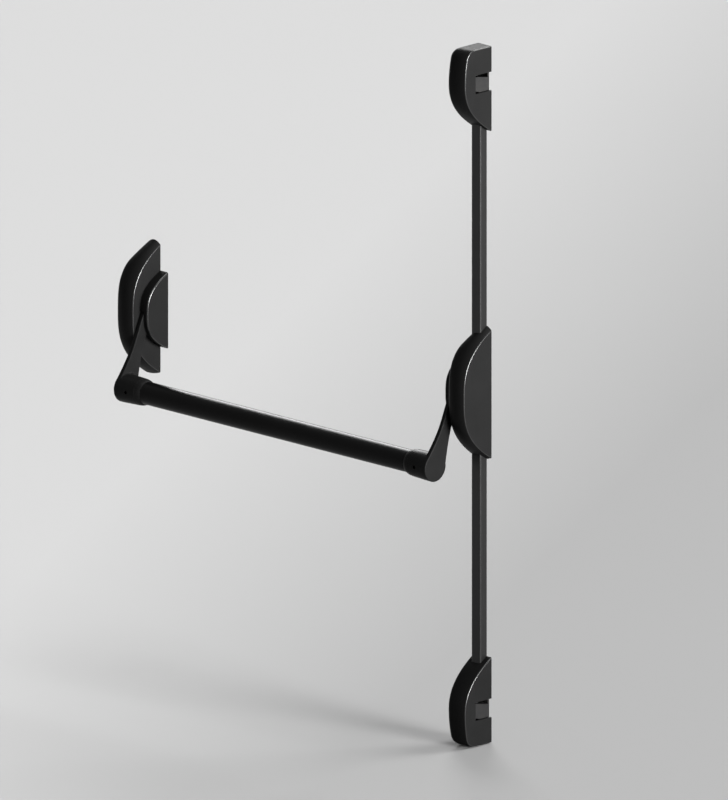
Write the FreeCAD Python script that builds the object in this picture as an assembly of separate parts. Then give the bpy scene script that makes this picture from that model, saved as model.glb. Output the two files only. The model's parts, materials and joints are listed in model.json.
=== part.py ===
import FreeCAD, Part
import math
import os
from FreeCAD import Vector

# Panic bar with two vertical rods. Millimetres, +Z up, +X to the right along the door.
# The door face is the plane y = 0 and the device stands out from it towards -Y, so "out" below
# means the distance from the door face. The origin is the middle of the main case on the door face.

# Layout
pivot_span = 602.6        # main case centre to pivot case centre
latch_height = 406.5      # main case centre to the middle of each latch case
plate_t = 2.5             # steel plates that lie on the door
running_gap = 0.05        # radial clearance of a shaft or rod in its bore
side_gap = 0.4            # clearance between sliding flat faces
seat_gap = 0.3            # clearance between curved faces of different bodies
fit_gap = 0.05            # clearance between pieces of one body that plug together

# Swing of the bar
swing_deg = 15.0
pivot_out = 24.0
pivot_z = 14.0

# Big case covers, main and pivot: the same moulding at both
cover_half_w = 16.9
cover_wall = 2.5
cover_depth = 50.0        # at the side faces
cover_crown = 2.0         # how much further out the middle stands
cover_rise = 85.0         # upper half height at the side faces
cover_drop = 85.0         # lower half height at the side faces
cover_crown_z = 4.0       # how much taller the middle is
cover_right_round = 1.5   # front edge on the right, crisp
cover_left_round = 10.0   # front edge on the left, soft
cover_left_depth = 46.0   # the left side stands less far out
cover_left_rise = 70.0    # and its upper end is lower and squarer
cover_left_drop = 88.0
cover_left_power = 6.0
upper_power = 3.0         # how squarely the front turns in towards its ends
lower_power = 2.8

# Small inner covers over the arm heads
inner_cover_w = 14.0
inner_cover_depth = 37.5
inner_cover_half_h = 50.8
inner_cover_wall = 2.0
inner_cover_round = 2.0
slot_top = 4.0
slot_back_out = 12.0
slot_slope = 5.0          # how much higher the slot is inside the rim
peg_r = 2.0
peg_out = 6.0
peg_z = 36.0

# Arms
arm_gap = 0.8             # from the big cover's side face
arm_t = 6.0
arm_hub_r = 9.0
neck_front_out = 57.7
neck_front_z = -44.6
neck_back_out = 41.1
neck_back_z = -52.9
lobe_r = 19.0
arm_reach_out = 43.5      # tube axis further out than the pivot
arm_reach_down = 105.5    # tube axis below the pivot
boss_root_r = 19.0
boss_end_r = 17.8
boss_length = 29.5
socket_floor = 1.5
collar_length = 8.0
collar_end_r = 15.7
arm_square = 8.4
arm_screw_r = 2.5
arm_screw_head_r = 5.5
arm_screw_head_t = 3.0

# Push tube
tube_r = 15.0
tube_wall = 1.5
set_screw_r = 2.5
set_screw_along = 15.0

# Shafts, bushes and chassis
shaft_r = 6.0
bush_wall = 2.0
bush_flange = 1.0
plate_half_w = 12.4
plate_past_ears = 13.0    # from the top of the ears to the plate's end
ear_inner = 10.2
ear_t = 2.0
ear_bottom = -30.0
ear_front = 42.0
ear_straight = 22.0       # above and below the shaft, where the ear's front edge bends
ear_top_back = 10.0       # how far the front edge falls back above
ear_bottom_back = 13.0    # and below
foot_w = 3.8
guide_t = 7.0
tie_r = 2.5
buffer_r = 4.0
spacer_r = 7.5

# Drive cam and crank pins
cam_t = 5.0
cam_hub_r = 9.0
cam_boss_r = 5.5
crank_r = 15.0
crank_pin_r = 2.5
cam_web_half = 5.0
roll_pin_r = 1.25
clip_r = 4.2
clip_t = 0.7
slot_slack = 0.25

# Rods, carriers and rod springs
rod_r = 3.0
rod_out = 7.2
carrier_t = 3.0
carrier_block_h = 12.0
carrier_arm_h = 6.5
carrier_edge = 2.8
upper_block_z = 30.0
lower_block_z = -14.0
block_back_out = 3.0
block_half_d = 4.2
nut_t = 4.0
nut_across = 8.4
nut_gap = 3.0             # from the upper rod's nut to its guide
rod_collar_r = 4.4
rod_collar_t = 4.0
rod_spring_wire = 0.9
rod_spring_r = 3.95
rod_spring_turns = 6
rod_spring_length = 14.0

# Rod covers and their clips
rod_cover_half_w = 8.1
rod_cover_depth = 12.2
rod_cover_wall = 1.2
rod_cover_round = 2.0
upper_tuck_gap = 7.5      # from the main back plate to the end of the cover
lower_tuck_gap = 5.0
clip_h = 14.0
clip_gap = 0.1
clip_count = 2

# Latch cases
latch_half_w = 16.9
latch_wall = 2.5
latch_depth = 48.0
latch_crown = 2.0
latch_top = 57.5
latch_drop = 56.0
latch_waist = 14.0        # height where the front stands furthest out
latch_power = 2.4         # how squarely the front turns in below the waist
latch_lean = 3.3          # how far the front has leaned back at the corner
latch_corner = 15.0
latch_right_round = 1.5
latch_left_top = 12.0     # front edge on the left, soft at the flat end
latch_left_foot = 3.5     # and tighter towards the pointed end
window_depth = 29.0
window_z = 11.1
window_half_h = 12.4
latch_plate_top = 50.0
latch_plate_bottom = -43.0

# Pawls
pawl_x = 7.4
pawl_out = 33.0
pawl_t = 6.0
pawl_face_x = 14.2        # the raised face that fills the window
pawl_face_back = 3.6
pawl_face_front = 27.5
blade_front_half = 10.0   # half height of the blade along its front
blade_top_fall = 1.2      # how far its upper edge falls in the first stretch
blade_back_top = 5.0      # upper end of the edge by the door
blade_foot = 15.1         # how far the foot reaches down
blade_foot_out = 10.0
pawl_pin_r = 2.0
knuckle_r = 4.5
knuckle_low = -6.0
knuckle_high = 17.5
lug_t = 2.0
lug_low = -6.4
lug_high = 28.5
lug_front = 40.0
stop_w = 3.0
tail_z = 10.0
tail_half_h = 4.0
tail_tip_x = -10.0
tail_half_d = 3.0
nose_r = 1.5
nose_reach = 5.0
pawl_spring_wire = 0.8
pawl_spring_r = 3.7
pawl_spring_pitch = 1.4
pawl_spring_turns = 2.75
pawl_spring_leg = 12.0

# Release slides
slide_block_low = -30.0
wing_t = 4.0
wing_back_out = 3.3
wing_strip_out = 14.0
wedge_slope = 0.75
wedge_over = 6.0
latch_guide_t = 2.5
latch_guide_z = -42.0

# Screws
door_hole_r = 2.6
hole_from_side = 4.2      # from the plate's side to a door screw's centre
hole_from_end = 7.0       # and from the case plate's end
latch_hole_top = 42.0
latch_hole_bottom = -35.0
cover_screw_r = 1.5
cover_screw_head_r = 3.0
cover_screw_head_t = 1.5
cover_screw_out = 12.0
cover_screw_high = 38.0
cover_screw_low = -20.0
latch_screw_out = 10.0
latch_screw_high = 38.0
latch_screw_low = -36.0
tab_t = 1.8
tab_half = 4.0

# Pivot return spring
return_wire = 1.6
return_r = 7.4
return_pitch = 2.25
return_turns = 4
return_start_x = -7.6
return_peg_r = 1.8
hub_t = 6.0
hub_x = 3.0

# Values that follow from the sizes above
swing = math.radians(swing_deg)
tube_out = pivot_out + arm_reach_out
tube_z = pivot_z - arm_reach_down
stroke = crank_r * math.sin(swing)
arm_x0 = cover_half_w + arm_gap
arm_x1 = arm_x0 + arm_t
boss_x1 = arm_x1 + boss_length
inner_cover_x1 = cover_half_w + inner_cover_w
front_pin_out = pivot_out + crank_r
back_pin_out = pivot_out - crank_r
carrier_x0 = cam_t / 2 + side_gap
carrier_x1 = carrier_x0 + carrier_t
pin_end = carrier_x1 + seat_gap + clip_t + 0.1
pressed_pin_out = pivot_out + crank_r * math.cos(swing)
buffer_z = pivot_z - stroke - cam_boss_r - seat_gap - buffer_r
guide_top_z = upper_block_z + carrier_block_h + nut_t + nut_gap
ear_top = guide_top_z + guide_t
plate_half_h = ear_top + plate_past_ears
door_hole_x = plate_half_w - hole_from_side
case_hole_z = plate_half_h - hole_from_end
collar_top_z = ear_top + rod_spring_length
collar_bottom_z = ear_bottom - rod_spring_length
nose_out = pawl_out - nose_reach
pawl_spring_z = knuckle_high + side_gap + pawl_spring_wire
wedge_out = nose_out - (nose_r + seat_gap) * math.hypot(1, wedge_slope)
rod_cover_tuck_top = plate_half_h + upper_tuck_gap
rod_cover_tuck_bottom = plate_half_h + lower_tuck_gap
rod_cover_end = latch_height + latch_plate_bottom - 1.5


# Helpers. Every one takes "out" as the distance from the door, so y is minus that.

def block(x0, x1, out0, out1, z0, z1):
    return Part.makeBox(x1 - x0, out1 - out0, z1 - z0, Vector(x0, -out1, z0))


def bar_x(r, x0, x1, out, z):
    return Part.makeCylinder(r, x1 - x0, Vector(x0, -out, z), Vector(1, 0, 0))


def bar_z(r, z0, z1, x, out):
    return Part.makeCylinder(r, z1 - z0, Vector(x, -out, z0), Vector(0, 0, 1))


def bar_out(r, out0, out1, x, z):
    return Part.makeCylinder(r, out1 - out0, Vector(x, -out0, z), Vector(0, -1, 0))


def cone_x(r0, r1, x0, x1, out, z):
    return Part.makeCone(r0, r1, x1 - x0, Vector(x0, -out, z), Vector(1, 0, 0))


def ring_x(r_in, r_out, x0, x1, out, z):
    return bar_x(r_out, x0, x1, out, z).cut(bar_x(r_in, x0 - 1, x1 + 1, out, z))


def ring_z(r_in, r_out, z0, z1, x, out):
    return bar_z(r_out, z0, z1, x, out).cut(bar_z(r_in, z0 - 1, z1 + 1, x, out))


def plate(points, x0, x1):
    # A flat plate across X from a closed outline of (out, z) points.
    corners = [Vector(x0, -out, z) for out, z in points]
    face = Part.Face(Part.makePolygon(corners + corners[:1]))
    return face.extrude(Vector(x1 - x0, 0, 0))


def join(shapes):
    whole = shapes[0].fuse(shapes[1:])
    return whole.removeSplitter()


def mirror_x(shape):
    return shape.mirror(Vector(0, 0, 0), Vector(1, 0, 0))


def mirror_z(shape):
    return shape.mirror(Vector(0, 0, 0), Vector(0, 0, 1))


def moved(shape, x=0.0, z=0.0):
    copy = shape.copy()
    copy.translate(Vector(x, 0, z))
    return copy


def at_pivot(shape):
    # Case pieces are drawn with the bar on their +X side, as at the pivot case.
    return moved(shape, x=-pivot_span)


def at_main(shape):
    return mirror_x(shape)


def at_upper(shape):
    return moved(shape, z=latch_height)


def at_lower(shape):
    return mirror_z(at_upper(shape))


def save(name, shapes):
    solids = [solid for shape in shapes for solid in shape.Solids]
    shape = solids[0] if len(solids) == 1 else Part.makeCompound(solids)
    if not shape.isValid():
        print("not valid:", name)
    shape.exportStep("parts/" + name + ".step")


# Coil springs: one unbroken tube on a helix of short tangent arcs

def biarc(p0, t0, p1, t1):
    # Two arcs that leave p0 along t0, reach p1 along t1 and share a tangent where they meet.
    chord = p1 - p0
    both = t0 + t1
    spread = 2 * (1 - t0.dot(t1))
    lean = chord.dot(both)
    reach = (math.sqrt(lean * lean + spread * chord.dot(chord)) - lean) / spread
    corner0 = p0 + t0 * reach
    corner1 = p1 - t1 * reach
    middle = (corner0 + corner1) * 0.5
    arcs = []
    for a, corner, b in ((p0, corner0, middle), (middle, corner1, p1)):
        centre = (a + b) * 0.5
        cosine = (b - a).Length / 2 / reach
        bulge = centre + (corner - centre) * (cosine / (1 + cosine))
        arcs.append(Part.Arc(a, bulge, b).toShape())
    return arcs


def coil(radius, pitch, turns, wire, start_deg, leg_in, leg_out):
    # A coil about +Z that starts at z = 0, with straight legs that leave it in line with its turns.
    climb = pitch / (2 * math.pi)

    def point(a):
        return Vector(radius * math.cos(a), radius * math.sin(a), climb * (a - start))

    def tangent(a):
        t = Vector(-radius * math.sin(a), radius * math.cos(a), climb)
        return t.normalize()

    start = math.radians(start_deg)
    steps = int(round(turns * 4))
    angles = [start + i * math.pi / 2 for i in range(steps + 1)]
    edges = []
    if leg_in > 0:
        edges.append(Part.makeLine(point(start) - tangent(start) * leg_in, point(start)))
    for a, b in zip(angles, angles[1:]):
        edges += biarc(point(a), tangent(a), point(b), tangent(b))
    end = angles[-1]
    if leg_out > 0:
        edges.append(Part.makeLine(point(end), point(end) + tangent(end) * leg_out))
    path = Part.Wire(edges)
    first = point(start) - tangent(start) * leg_in
    section = Part.Wire(Part.Circle(first, tangent(start), wire / 2).toShape())
    tube = path.makePipeShell([section], True, False)
    turn = 2 * math.pi * math.hypot(radius, climb)
    spacing = turn / 48
    count = int(path.Length / spacing)
    points = path.discretize(Number=count)
    apart = int(count * turn / path.Length * 0.75)
    nearest = min(points[i].distanceToPoint(points[j])
                  for i in range(count) for j in range(i + apart, count))
    ratio = tube.Volume / (math.pi * wire * wire / 4 * path.Length)
    print("coil: least gap to itself", round(nearest - wire, 2), "volume ratio", round(ratio, 4))
    return tube


# Big case covers

def turned_in(depth, share, power):
    # How far out the front stands at a share of the height: level in the middle, then falling ever
    # faster to a pointed end on the door.
    return depth * (1 - abs(share) ** power)


def case_outline(x, depth, rise, drop, behind, high_power=upper_power):
    # The D seen from the side, closed by a straight line behind the door face.
    points = []
    for i in range(15):
        share = (i - 7) / 7
        height = rise if share > 0 else drop
        power = high_power if share > 0 else lower_power
        points.append(Vector(x, -turned_in(depth, share, power), height * share))
    curve = Part.BSplineCurve()
    curve.interpolate(points)
    edges = [curve.toShape()]
    if behind > 0:
        high = Vector(x, behind, rise)
        low = Vector(x, behind, -drop)
        edges.append(Part.makeLine(points[-1], high))
        edges.append(Part.makeLine(high, low))
        edges.append(Part.makeLine(low, points[0]))
    else:
        edges.append(Part.makeLine(points[-1], points[0]))
    return Part.Wire(edges)


def round_front_edge(shape, x_side, foot_radius, top_radius):
    # Rounds the long curved edge where the side face at x_side meets the front. The radius grows
    # evenly from the lower end to the upper end.
    edges = []
    for edge in shape.Edges:
        box = edge.BoundBox
        on_side = box.XLength < 0.01 and abs(box.XMin - x_side) < 0.01
        if on_side and box.YMin < -1.0 and box.YLength > 0.5:
            edges.append(edge)
    rising = edges[0].firstVertex().Z < edges[0].lastVertex().Z
    radii = (foot_radius, top_radius) if rising else (top_radius, foot_radius)
    return shape.makeFillet(radii[0], radii[1], edges[:1])


def crowned_case(wall, behind):
    # The outline changes smoothly from the left side over the crowned middle to the right side.
    half_w = cover_half_w - wall
    left = case_outline(-half_w, cover_left_depth - wall, cover_left_rise - wall,
                        cover_left_drop - wall, behind, cover_left_power)
    middle = case_outline(0.0, cover_depth + cover_crown - wall,
                          cover_rise + cover_crown_z - wall,
                          cover_drop + cover_crown_z - wall, behind)
    right = case_outline(half_w, cover_depth - wall, cover_rise - wall, cover_drop - wall, behind)
    return Part.makeLoft([left, middle, right], True, False)


def cover_screw_hole(x_side, out, z, depth):
    # Countersunk hole through the side wall at x_side, on the bar side of a case.
    shank = bar_x(cover_screw_r + fit_gap, x_side - depth, x_side, out, z)
    head = cone_x(cover_screw_r + fit_gap, cover_screw_head_r + fit_gap,
                  x_side - cover_screw_head_t, x_side - fit_gap, out, z)
    mouth = bar_x(cover_screw_head_r + fit_gap, x_side - fit_gap, x_side + 1, out, z)
    return join([shank, head, mouth])


def case_cover(bar_side, rod_openings):
    # One moulding, so its soft edge is on the left at both cases. Only its holes change sides.
    w = cover_wall
    outer = crowned_case(0.0, 0.0)
    outer = round_front_edge(outer, cover_half_w, cover_right_round, cover_right_round)
    outer = round_front_edge(outer, -cover_half_w, cover_left_round, cover_left_round)
    inner = crowned_case(w, 1.0)
    inner = round_front_edge(inner, w - cover_half_w, cover_left_round - w, cover_left_round - w)
    tools = [bar_x(shaft_r + 1, ear_inner + ear_t, cover_half_w + 1, pivot_out, pivot_z)]
    for z in (cover_screw_high, cover_screw_low):
        tools.append(cover_screw_hole(cover_half_w, cover_screw_out, z, 2 * w))
    for z in (peg_z, -peg_z):
        tools.append(bar_x(peg_r + fit_gap, cover_half_w - 2 * w, cover_half_w + 1, peg_out, z))
    if bar_side < 0:
        tools = [mirror_x(tool) for tool in tools]
    if rod_openings:
        half = rod_cover_half_w + seat_gap
        deep = rod_cover_depth + seat_gap
        top = cover_rise + cover_crown_z + 1
        tools.append(block(-half, half, -1, deep, plate_half_h, top))
        tools.append(block(-half, half, -1, deep, -top, -plate_half_h))
    return outer.cut(inner).cut(tools)


def inner_cover():
    depth = inner_cover_depth
    half_h = inner_cover_half_h
    outline = case_outline(cover_half_w, depth, half_h, half_h, 0.0)
    outer = Part.Face(outline).extrude(Vector(inner_cover_w, 0, 0))
    rim = [e for e in outer.Edges if e.BoundBox.XMin > inner_cover_x1 - 0.01
           and e.BoundBox.YLength > 1]
    outer = outer.makeFillet(inner_cover_round, rim)
    w = inner_cover_wall
    hollow = case_outline(cover_half_w - 1, depth - w, half_h - w, half_h - w, 1.0)
    inner = Part.Face(hollow).extrude(Vector(inner_cover_w - w + 1, 0, 0))
    arm_slot = plate([(slot_back_out, -half_h - 1), (depth + 1, -half_h - 1),
                      (depth + 1, slot_top), (depth, slot_top),
                      (depth - w - 1, slot_top + slot_slope),
                      (slot_back_out, slot_top + slot_slope)],
                     cover_half_w - 1, arm_x1 + side_gap)
    shell = outer.cut([inner, arm_slot])
    start = cover_half_w - cover_wall
    pegs = [bar_x(peg_r, start, inner_cover_x1 - w / 2, peg_out, z) for z in (peg_z, -peg_z)]
    return join([shell] + pegs)


def case_cover_screws():
    screws = []
    for z in (cover_screw_high, cover_screw_low):
        head = cone_x(cover_screw_r, cover_screw_head_r, cover_half_w - cover_screw_head_t,
                      cover_half_w - fit_gap, cover_screw_out, z)
        shank = bar_x(cover_screw_r, ear_inner - 1, cover_half_w - cover_screw_head_t,
                      cover_screw_out, z)
        socket = bar_x(cover_screw_r / 2, cover_half_w - 1, cover_half_w, cover_screw_out, z)
        screws.append(join([head, shank]).cut(socket))
    return screws


# Plates, chassis and bushes inside the cases

def back_plate():
    body = block(-plate_half_w, plate_half_w, 0, plate_t, -plate_half_h, plate_half_h)
    corners = [e for e in body.Edges if e.BoundBox.YLength > 1]
    body = body.makeFillet(door_hole_r, corners)
    holes = [bar_out(door_hole_r, -1, plate_t + 1, x, z)
             for x in (-door_hole_x, door_hole_x) for z in (-case_hole_z, case_hole_z)]
    return body.cut(holes)


def chassis():
    # Two ears that stand on the back plate, joined by a tie bar.
    profile = [(plate_t, ear_bottom), (plate_t, ear_top), (rod_out + block_half_d + 3, ear_top),
               (ear_front - ear_top_back, pivot_z + ear_straight), (ear_front, pivot_z),
               (ear_front, pivot_z - ear_straight), (ear_front - ear_bottom_back, ear_bottom)]
    pieces = []
    holes = []
    for side in (-1, 1):
        x0, x1 = sorted((side * ear_inner, side * (ear_inner + ear_t)))
        pieces.append(plate(profile, x0, x1))
        f0, f1 = sorted((side * ear_inner, side * (ear_inner - foot_w)))
        pieces.append(block(f0, f1, plate_t, plate_t + ear_t, ear_bottom, ear_top))
        holes.append(bar_x(shaft_r + bush_wall, x0 - 1, x1 + 1, pivot_out, pivot_z))
    pieces.append(bar_x(tie_r, -ear_inner - ear_t / 2, ear_inner + ear_t / 2,
                        pressed_pin_out, buffer_z))
    for z in (cover_screw_high, cover_screw_low):
        holes.append(bar_x(cover_screw_r, ear_inner - 1, ear_inner + ear_t + 1,
                           cover_screw_out, z))
    return join(pieces).cut(holes)


def main_chassis():
    slots = [block(-ear_inner, ear_inner, plate_t, plate_t + ear_t, z, z + guide_t)
             for z in (guide_top_z, ear_bottom)]
    return chassis().cut(slots)


def pivot_chassis():
    # The pivot chassis has one more peg, which holds the fixed leg of the return spring.
    peg_out_at = plate_t + return_r
    z = pivot_z - return_r + return_wire / 2 + seat_gap + return_peg_r
    peg = bar_x(return_peg_r, -ear_inner - ear_t / 2, return_start_x + return_wire + 1,
                peg_out_at, z)
    return join([chassis(), peg])


def bushes():
    pieces = []
    for side in (-1, 1):
        x0, x1 = sorted((side * (ear_inner - bush_flange), side * (ear_inner + ear_t)))
        f0, f1 = sorted((side * (ear_inner - bush_flange), side * ear_inner))
        sleeve = bar_x(shaft_r + bush_wall, x0, x1, pivot_out, pivot_z)
        flange = bar_x(shaft_r + 2 * bush_wall, f0, f1, pivot_out, pivot_z)
        bore = bar_x(shaft_r + running_gap, x0 - 1, x1 + 1, pivot_out, pivot_z)
        pieces.append(join([sleeve, flange]).cut(bore))
    return pieces


def stop_buffer():
    half = ear_inner - side_gap
    return ring_x(tie_r, buffer_r, -half, half, pressed_pin_out, buffer_z)


def rod_guides():
    half = ear_inner
    front = rod_out + block_half_d + 0.5
    pieces = []
    for z in (guide_top_z, ear_bottom):
        body = block(-half, half, plate_t, front, z, z + guide_t)
        pieces.append(body.cut(bar_z(rod_r + running_gap, z - 1, z + guide_t + 1, 0, rod_out)))
    return pieces


# Shafts, arms and tube, which swing together

def shaft():
    round_part = bar_x(shaft_r, -ear_inner - ear_t, arm_x0, pivot_out, pivot_z)
    half = arm_square / 2
    square = block(arm_x0, arm_x1 - 0.3, pivot_out - half, pivot_out + half,
                   pivot_z - half, pivot_z + half)
    thread = bar_x(arm_screw_r, ear_inner, arm_x1, pivot_out, pivot_z)
    return join([round_part, square]).cut(thread)


def roll_pin():
    return bar_z(roll_pin_r, pivot_z - cam_hub_r + 0.3, pivot_z + cam_hub_r - 0.3, 0, pivot_out)


def arm_screw():
    shank = bar_x(arm_screw_r, ear_inner + 1, arm_x1, pivot_out, pivot_z)
    head = bar_x(arm_screw_head_r, arm_x1, arm_x1 + arm_screw_head_t, pivot_out, pivot_z)
    socket = bar_x(arm_screw_r, arm_x1 + 1, arm_x1 + arm_screw_head_t + 1, pivot_out, pivot_z)
    return join([shank, head]).cut(socket)


def arm_neck():
    # The neck between the hub and the lobe: a front edge that sweeps out to the lobe and a straight
    # back edge, both leaving the hub and the lobe smoothly.
    front = Part.BSplineCurve()
    front.interpolate([
        Vector(arm_x0, -(pivot_out + arm_hub_r * 0.95), pivot_z - arm_hub_r * 0.3),
        Vector(arm_x0, -(neck_front_out * 0.45 + (pivot_out + arm_hub_r) * 0.55),
               neck_front_z * 0.45 + pivot_z * 0.55 - 2),
        Vector(arm_x0, -neck_front_out, neck_front_z),
        Vector(arm_x0, -(tube_out + lobe_r * 0.68), tube_z + lobe_r * 0.733)])
    back = Part.BSplineCurve()
    back.interpolate([
        Vector(arm_x0, -(tube_out - lobe_r * 0.99), tube_z + lobe_r * 0.14),
        Vector(arm_x0, -neck_back_out, neck_back_z),
        Vector(arm_x0, -(pivot_out - arm_hub_r * 0.94), pivot_z - arm_hub_r * 0.34)])
    edges = [front.toShape(), Part.makeLine(front.EndPoint, back.StartPoint), back.toShape(),
             Part.makeLine(back.EndPoint, front.StartPoint)]
    return Part.Face(Part.Wire(edges)).extrude(Vector(arm_t, 0, 0))


def arm():
    hub = bar_x(arm_hub_r, arm_x0, arm_x1, pivot_out, pivot_z)
    lobe = bar_x(lobe_r, arm_x0, arm_x1, tube_out, tube_z)
    boss = cone_x(boss_root_r, boss_end_r, arm_x1, boss_x1, tube_out, tube_z)
    half = arm_square / 2 + fit_gap
    body = join([hub, arm_neck(), lobe])
    outer_edges = [e for e in body.Edges if e.BoundBox.XMax < arm_x0 + 0.01]
    body = body.makeFillet(1.0, outer_edges)
    tools = [bar_x(tube_r + fit_gap, arm_x1 + socket_floor, boss_x1 + 1, tube_out, tube_z),
             block(arm_x0 - 1, arm_x1 + 1, pivot_out - half, pivot_out + half,
                   pivot_z - half, pivot_z + half),
             bar_out(set_screw_r, tube_out - boss_root_r - 1, tube_out,
                     arm_x1 + set_screw_along, tube_z)]
    return join([body, boss]).cut(tools)


def set_screw():
    start = tube_out - boss_end_r + 0.3
    return bar_out(set_screw_r - 0.02, start, tube_out - tube_r - fit_gap,
                   arm_x1 + set_screw_along, tube_z)


def tube_collar():
    # A rounded ring that closes the gap between the boss and the tube.
    drop = boss_end_r - collar_end_r
    half_drop = Vector(boss_x1 + collar_length * 0.75, -tube_out - boss_end_r + drop * 0.25, tube_z)
    a = Vector(boss_x1, -tube_out - boss_end_r, tube_z)
    b = Vector(boss_x1 + collar_length, -tube_out - collar_end_r, tube_z)
    c = Vector(boss_x1 + collar_length, -tube_out - tube_r - fit_gap, tube_z)
    d = Vector(boss_x1, -tube_out - tube_r - fit_gap, tube_z)
    edges = [Part.Arc(a, half_drop, b).toShape(), Part.makeLine(b, c), Part.makeLine(c, d),
             Part.makeLine(d, a)]
    face = Part.Face(Part.Wire(edges))
    return face.revolve(Vector(0, -tube_out, tube_z), Vector(1, 0, 0), 360)


def push_tube():
    start = -pivot_span + arm_x1 + socket_floor
    end = -arm_x1 - socket_floor
    return ring_x(tube_r - tube_wall, tube_r, start, end, tube_out, tube_z)


def lever(reach_points, x0, x1):
    # A flat lever on the shaft with a boss round each point of reach_points.
    pieces = [bar_x(cam_hub_r, x0, x1, pivot_out, pivot_z)]
    for out in reach_points:
        pieces.append(bar_x(cam_boss_r, x0, x1, out, pivot_z))
        low, high = sorted((out, pivot_out))
        pieces.append(block(x0, x1, low, high, pivot_z - cam_web_half, pivot_z + cam_web_half))
    return join(pieces).cut(bar_x(shaft_r, x0 - 1, x1 + 1, pivot_out, pivot_z))


def crank_pins():
    half = cam_t / 2
    front = bar_x(crank_pin_r, -pin_end, half, front_pin_out, pivot_z)
    back = bar_x(crank_pin_r, -half, pin_end, back_pin_out, pivot_z)
    return [front, back]


def drive_cam():
    half = cam_t / 2
    return lever((front_pin_out, back_pin_out), -half, half).cut(crank_pins() + [roll_pin()])


def crank_pin_clips():
    near = carrier_x1 + seat_gap
    far = near + clip_t
    return [ring_x(crank_pin_r, clip_r, -far, -near, front_pin_out, pivot_z),
            ring_x(crank_pin_r, clip_r, near, far, back_pin_out, pivot_z)]


def shaft_spacers():
    start = cam_t / 2
    end = ear_inner - bush_flange - side_gap / 2
    return [ring_x(shaft_r, spacer_r, start, end, pivot_out, pivot_z),
            ring_x(shaft_r, spacer_r, -end, -start, pivot_out, pivot_z)]


def spring_hub():
    # The lever on the pivot shaft that the return spring lifts by a peg.
    body = lever((front_pin_out,), hub_x, hub_x + hub_t)
    z = pivot_z - return_r + return_wire / 2 + seat_gap + return_peg_r
    peg = bar_x(return_peg_r, return_start_x + return_pitch * return_turns - return_wire,
                hub_x + 1, front_pin_out - 1.5, z)
    return join([body, peg])


def return_spring():
    reach = pivot_out - plate_t - return_wire / 2 - seat_gap
    spring = coil(return_r, return_pitch, return_turns, return_wire, -90, reach - 1,
                  front_pin_out - pivot_out + 1.5)
    # The coil's own axis is laid along +X, with its first leg pointing back to the door.
    turn = FreeCAD.Placement(Vector(return_start_x, -pivot_out, pivot_z),
                             FreeCAD.Rotation(Vector(0, -1, 0), Vector(0, 0, 1),
                                              Vector(1, 0, 0), "ZXY"))
    spring.Placement = turn.multiply(spring.Placement)
    return spring


# Rods and what they carry

def hex_nut(z):
    corner = nut_across / math.sqrt(3)
    points = [Vector(corner * math.cos(math.radians(60 * i)),
                     -rod_out + corner * math.sin(math.radians(60 * i)), z)
              for i in range(7)]
    body = Part.Face(Part.makePolygon(points)).extrude(Vector(0, 0, nut_t))
    return body.cut(bar_z(rod_r, z - 1, z + nut_t + 1, 0, rod_out))


def pin_slot(x0, x1, out_low, out_high):
    r = crank_pin_r + slot_slack
    middle = block(x0, x1, out_low, out_high, pivot_z - r, pivot_z + r)
    ends = [bar_x(r, x0, x1, out, pivot_z) for out in (out_low, out_high)]
    return join([middle] + ends)


def upper_carrier():
    top = upper_block_z + carrier_block_h
    low = upper_block_z + 3 - carrier_arm_h
    front = front_pin_out + crank_pin_r + slot_slack + carrier_edge
    leg_back = pressed_pin_out - crank_pin_r - slot_slack - carrier_edge
    leg_low = pivot_z - crank_pin_r - slot_slack - carrier_edge
    arm_high = low + carrier_arm_h
    outline = [(block_back_out, low), (leg_back, low), (leg_back, leg_low), (front, leg_low),
               (front, arm_high - 4), (front - 4, arm_high), (rod_out + block_half_d, arm_high),
               (rod_out + block_half_d, top), (block_back_out, top)]
    side = plate(outline, -carrier_x1, -carrier_x0)
    body = block(-carrier_x1, carrier_x1, block_back_out, rod_out + block_half_d,
                 upper_block_z, top)
    slot = pin_slot(-carrier_x1 - 1, -carrier_x0 + 1, pressed_pin_out, front_pin_out)
    bore = bar_z(rod_r, upper_block_z - 1, top + 1, 0, rod_out)
    return join([side, body]).cut([slot, bore])


def lower_carrier():
    high = lower_block_z + carrier_block_h
    top = pivot_z + crank_pin_r + slot_slack + carrier_edge
    back_out_pressed = pivot_out - crank_r * math.cos(swing)
    front = back_out_pressed + crank_pin_r + slot_slack + carrier_edge
    outline = [(block_back_out, lower_block_z), (front, lower_block_z), (front, top),
               (block_back_out, top)]
    side = plate(outline, carrier_x0, carrier_x1)
    body = block(-carrier_x1, carrier_x1, block_back_out, rod_out + block_half_d,
                 lower_block_z, high)
    slot = pin_slot(carrier_x0 - 1, carrier_x1 + 1, back_pin_out, back_out_pressed)
    bore = bar_z(rod_r, lower_block_z - 1, high + 1, 0, rod_out)
    return join([side, body]).cut([slot, bore])


def rod_spring(z0, z1):
    length = z1 - z0 - rod_spring_wire - 2 * fit_gap
    spring = coil(rod_spring_r, length / rod_spring_turns, rod_spring_turns, rod_spring_wire,
                  0, 0, 0)
    spring.translate(Vector(0, -rod_out, z0 + rod_spring_wire / 2 + fit_gap))
    return spring


def rod_cover(z0, z1):
    outer = block(-rod_cover_half_w, rod_cover_half_w, 0, rod_cover_depth, z0, z1)
    long_edges = [e for e in outer.Edges
                  if e.BoundBox.ZLength > 1 and e.BoundBox.YMin < -rod_cover_depth + 0.01]
    outer = outer.makeFillet(rod_cover_round, long_edges)
    half = rod_cover_half_w - rod_cover_wall
    inner = block(-half, half, -1, rod_cover_depth - rod_cover_wall, z0 - 1, z1 + 1)
    return outer.cut(inner)


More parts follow.
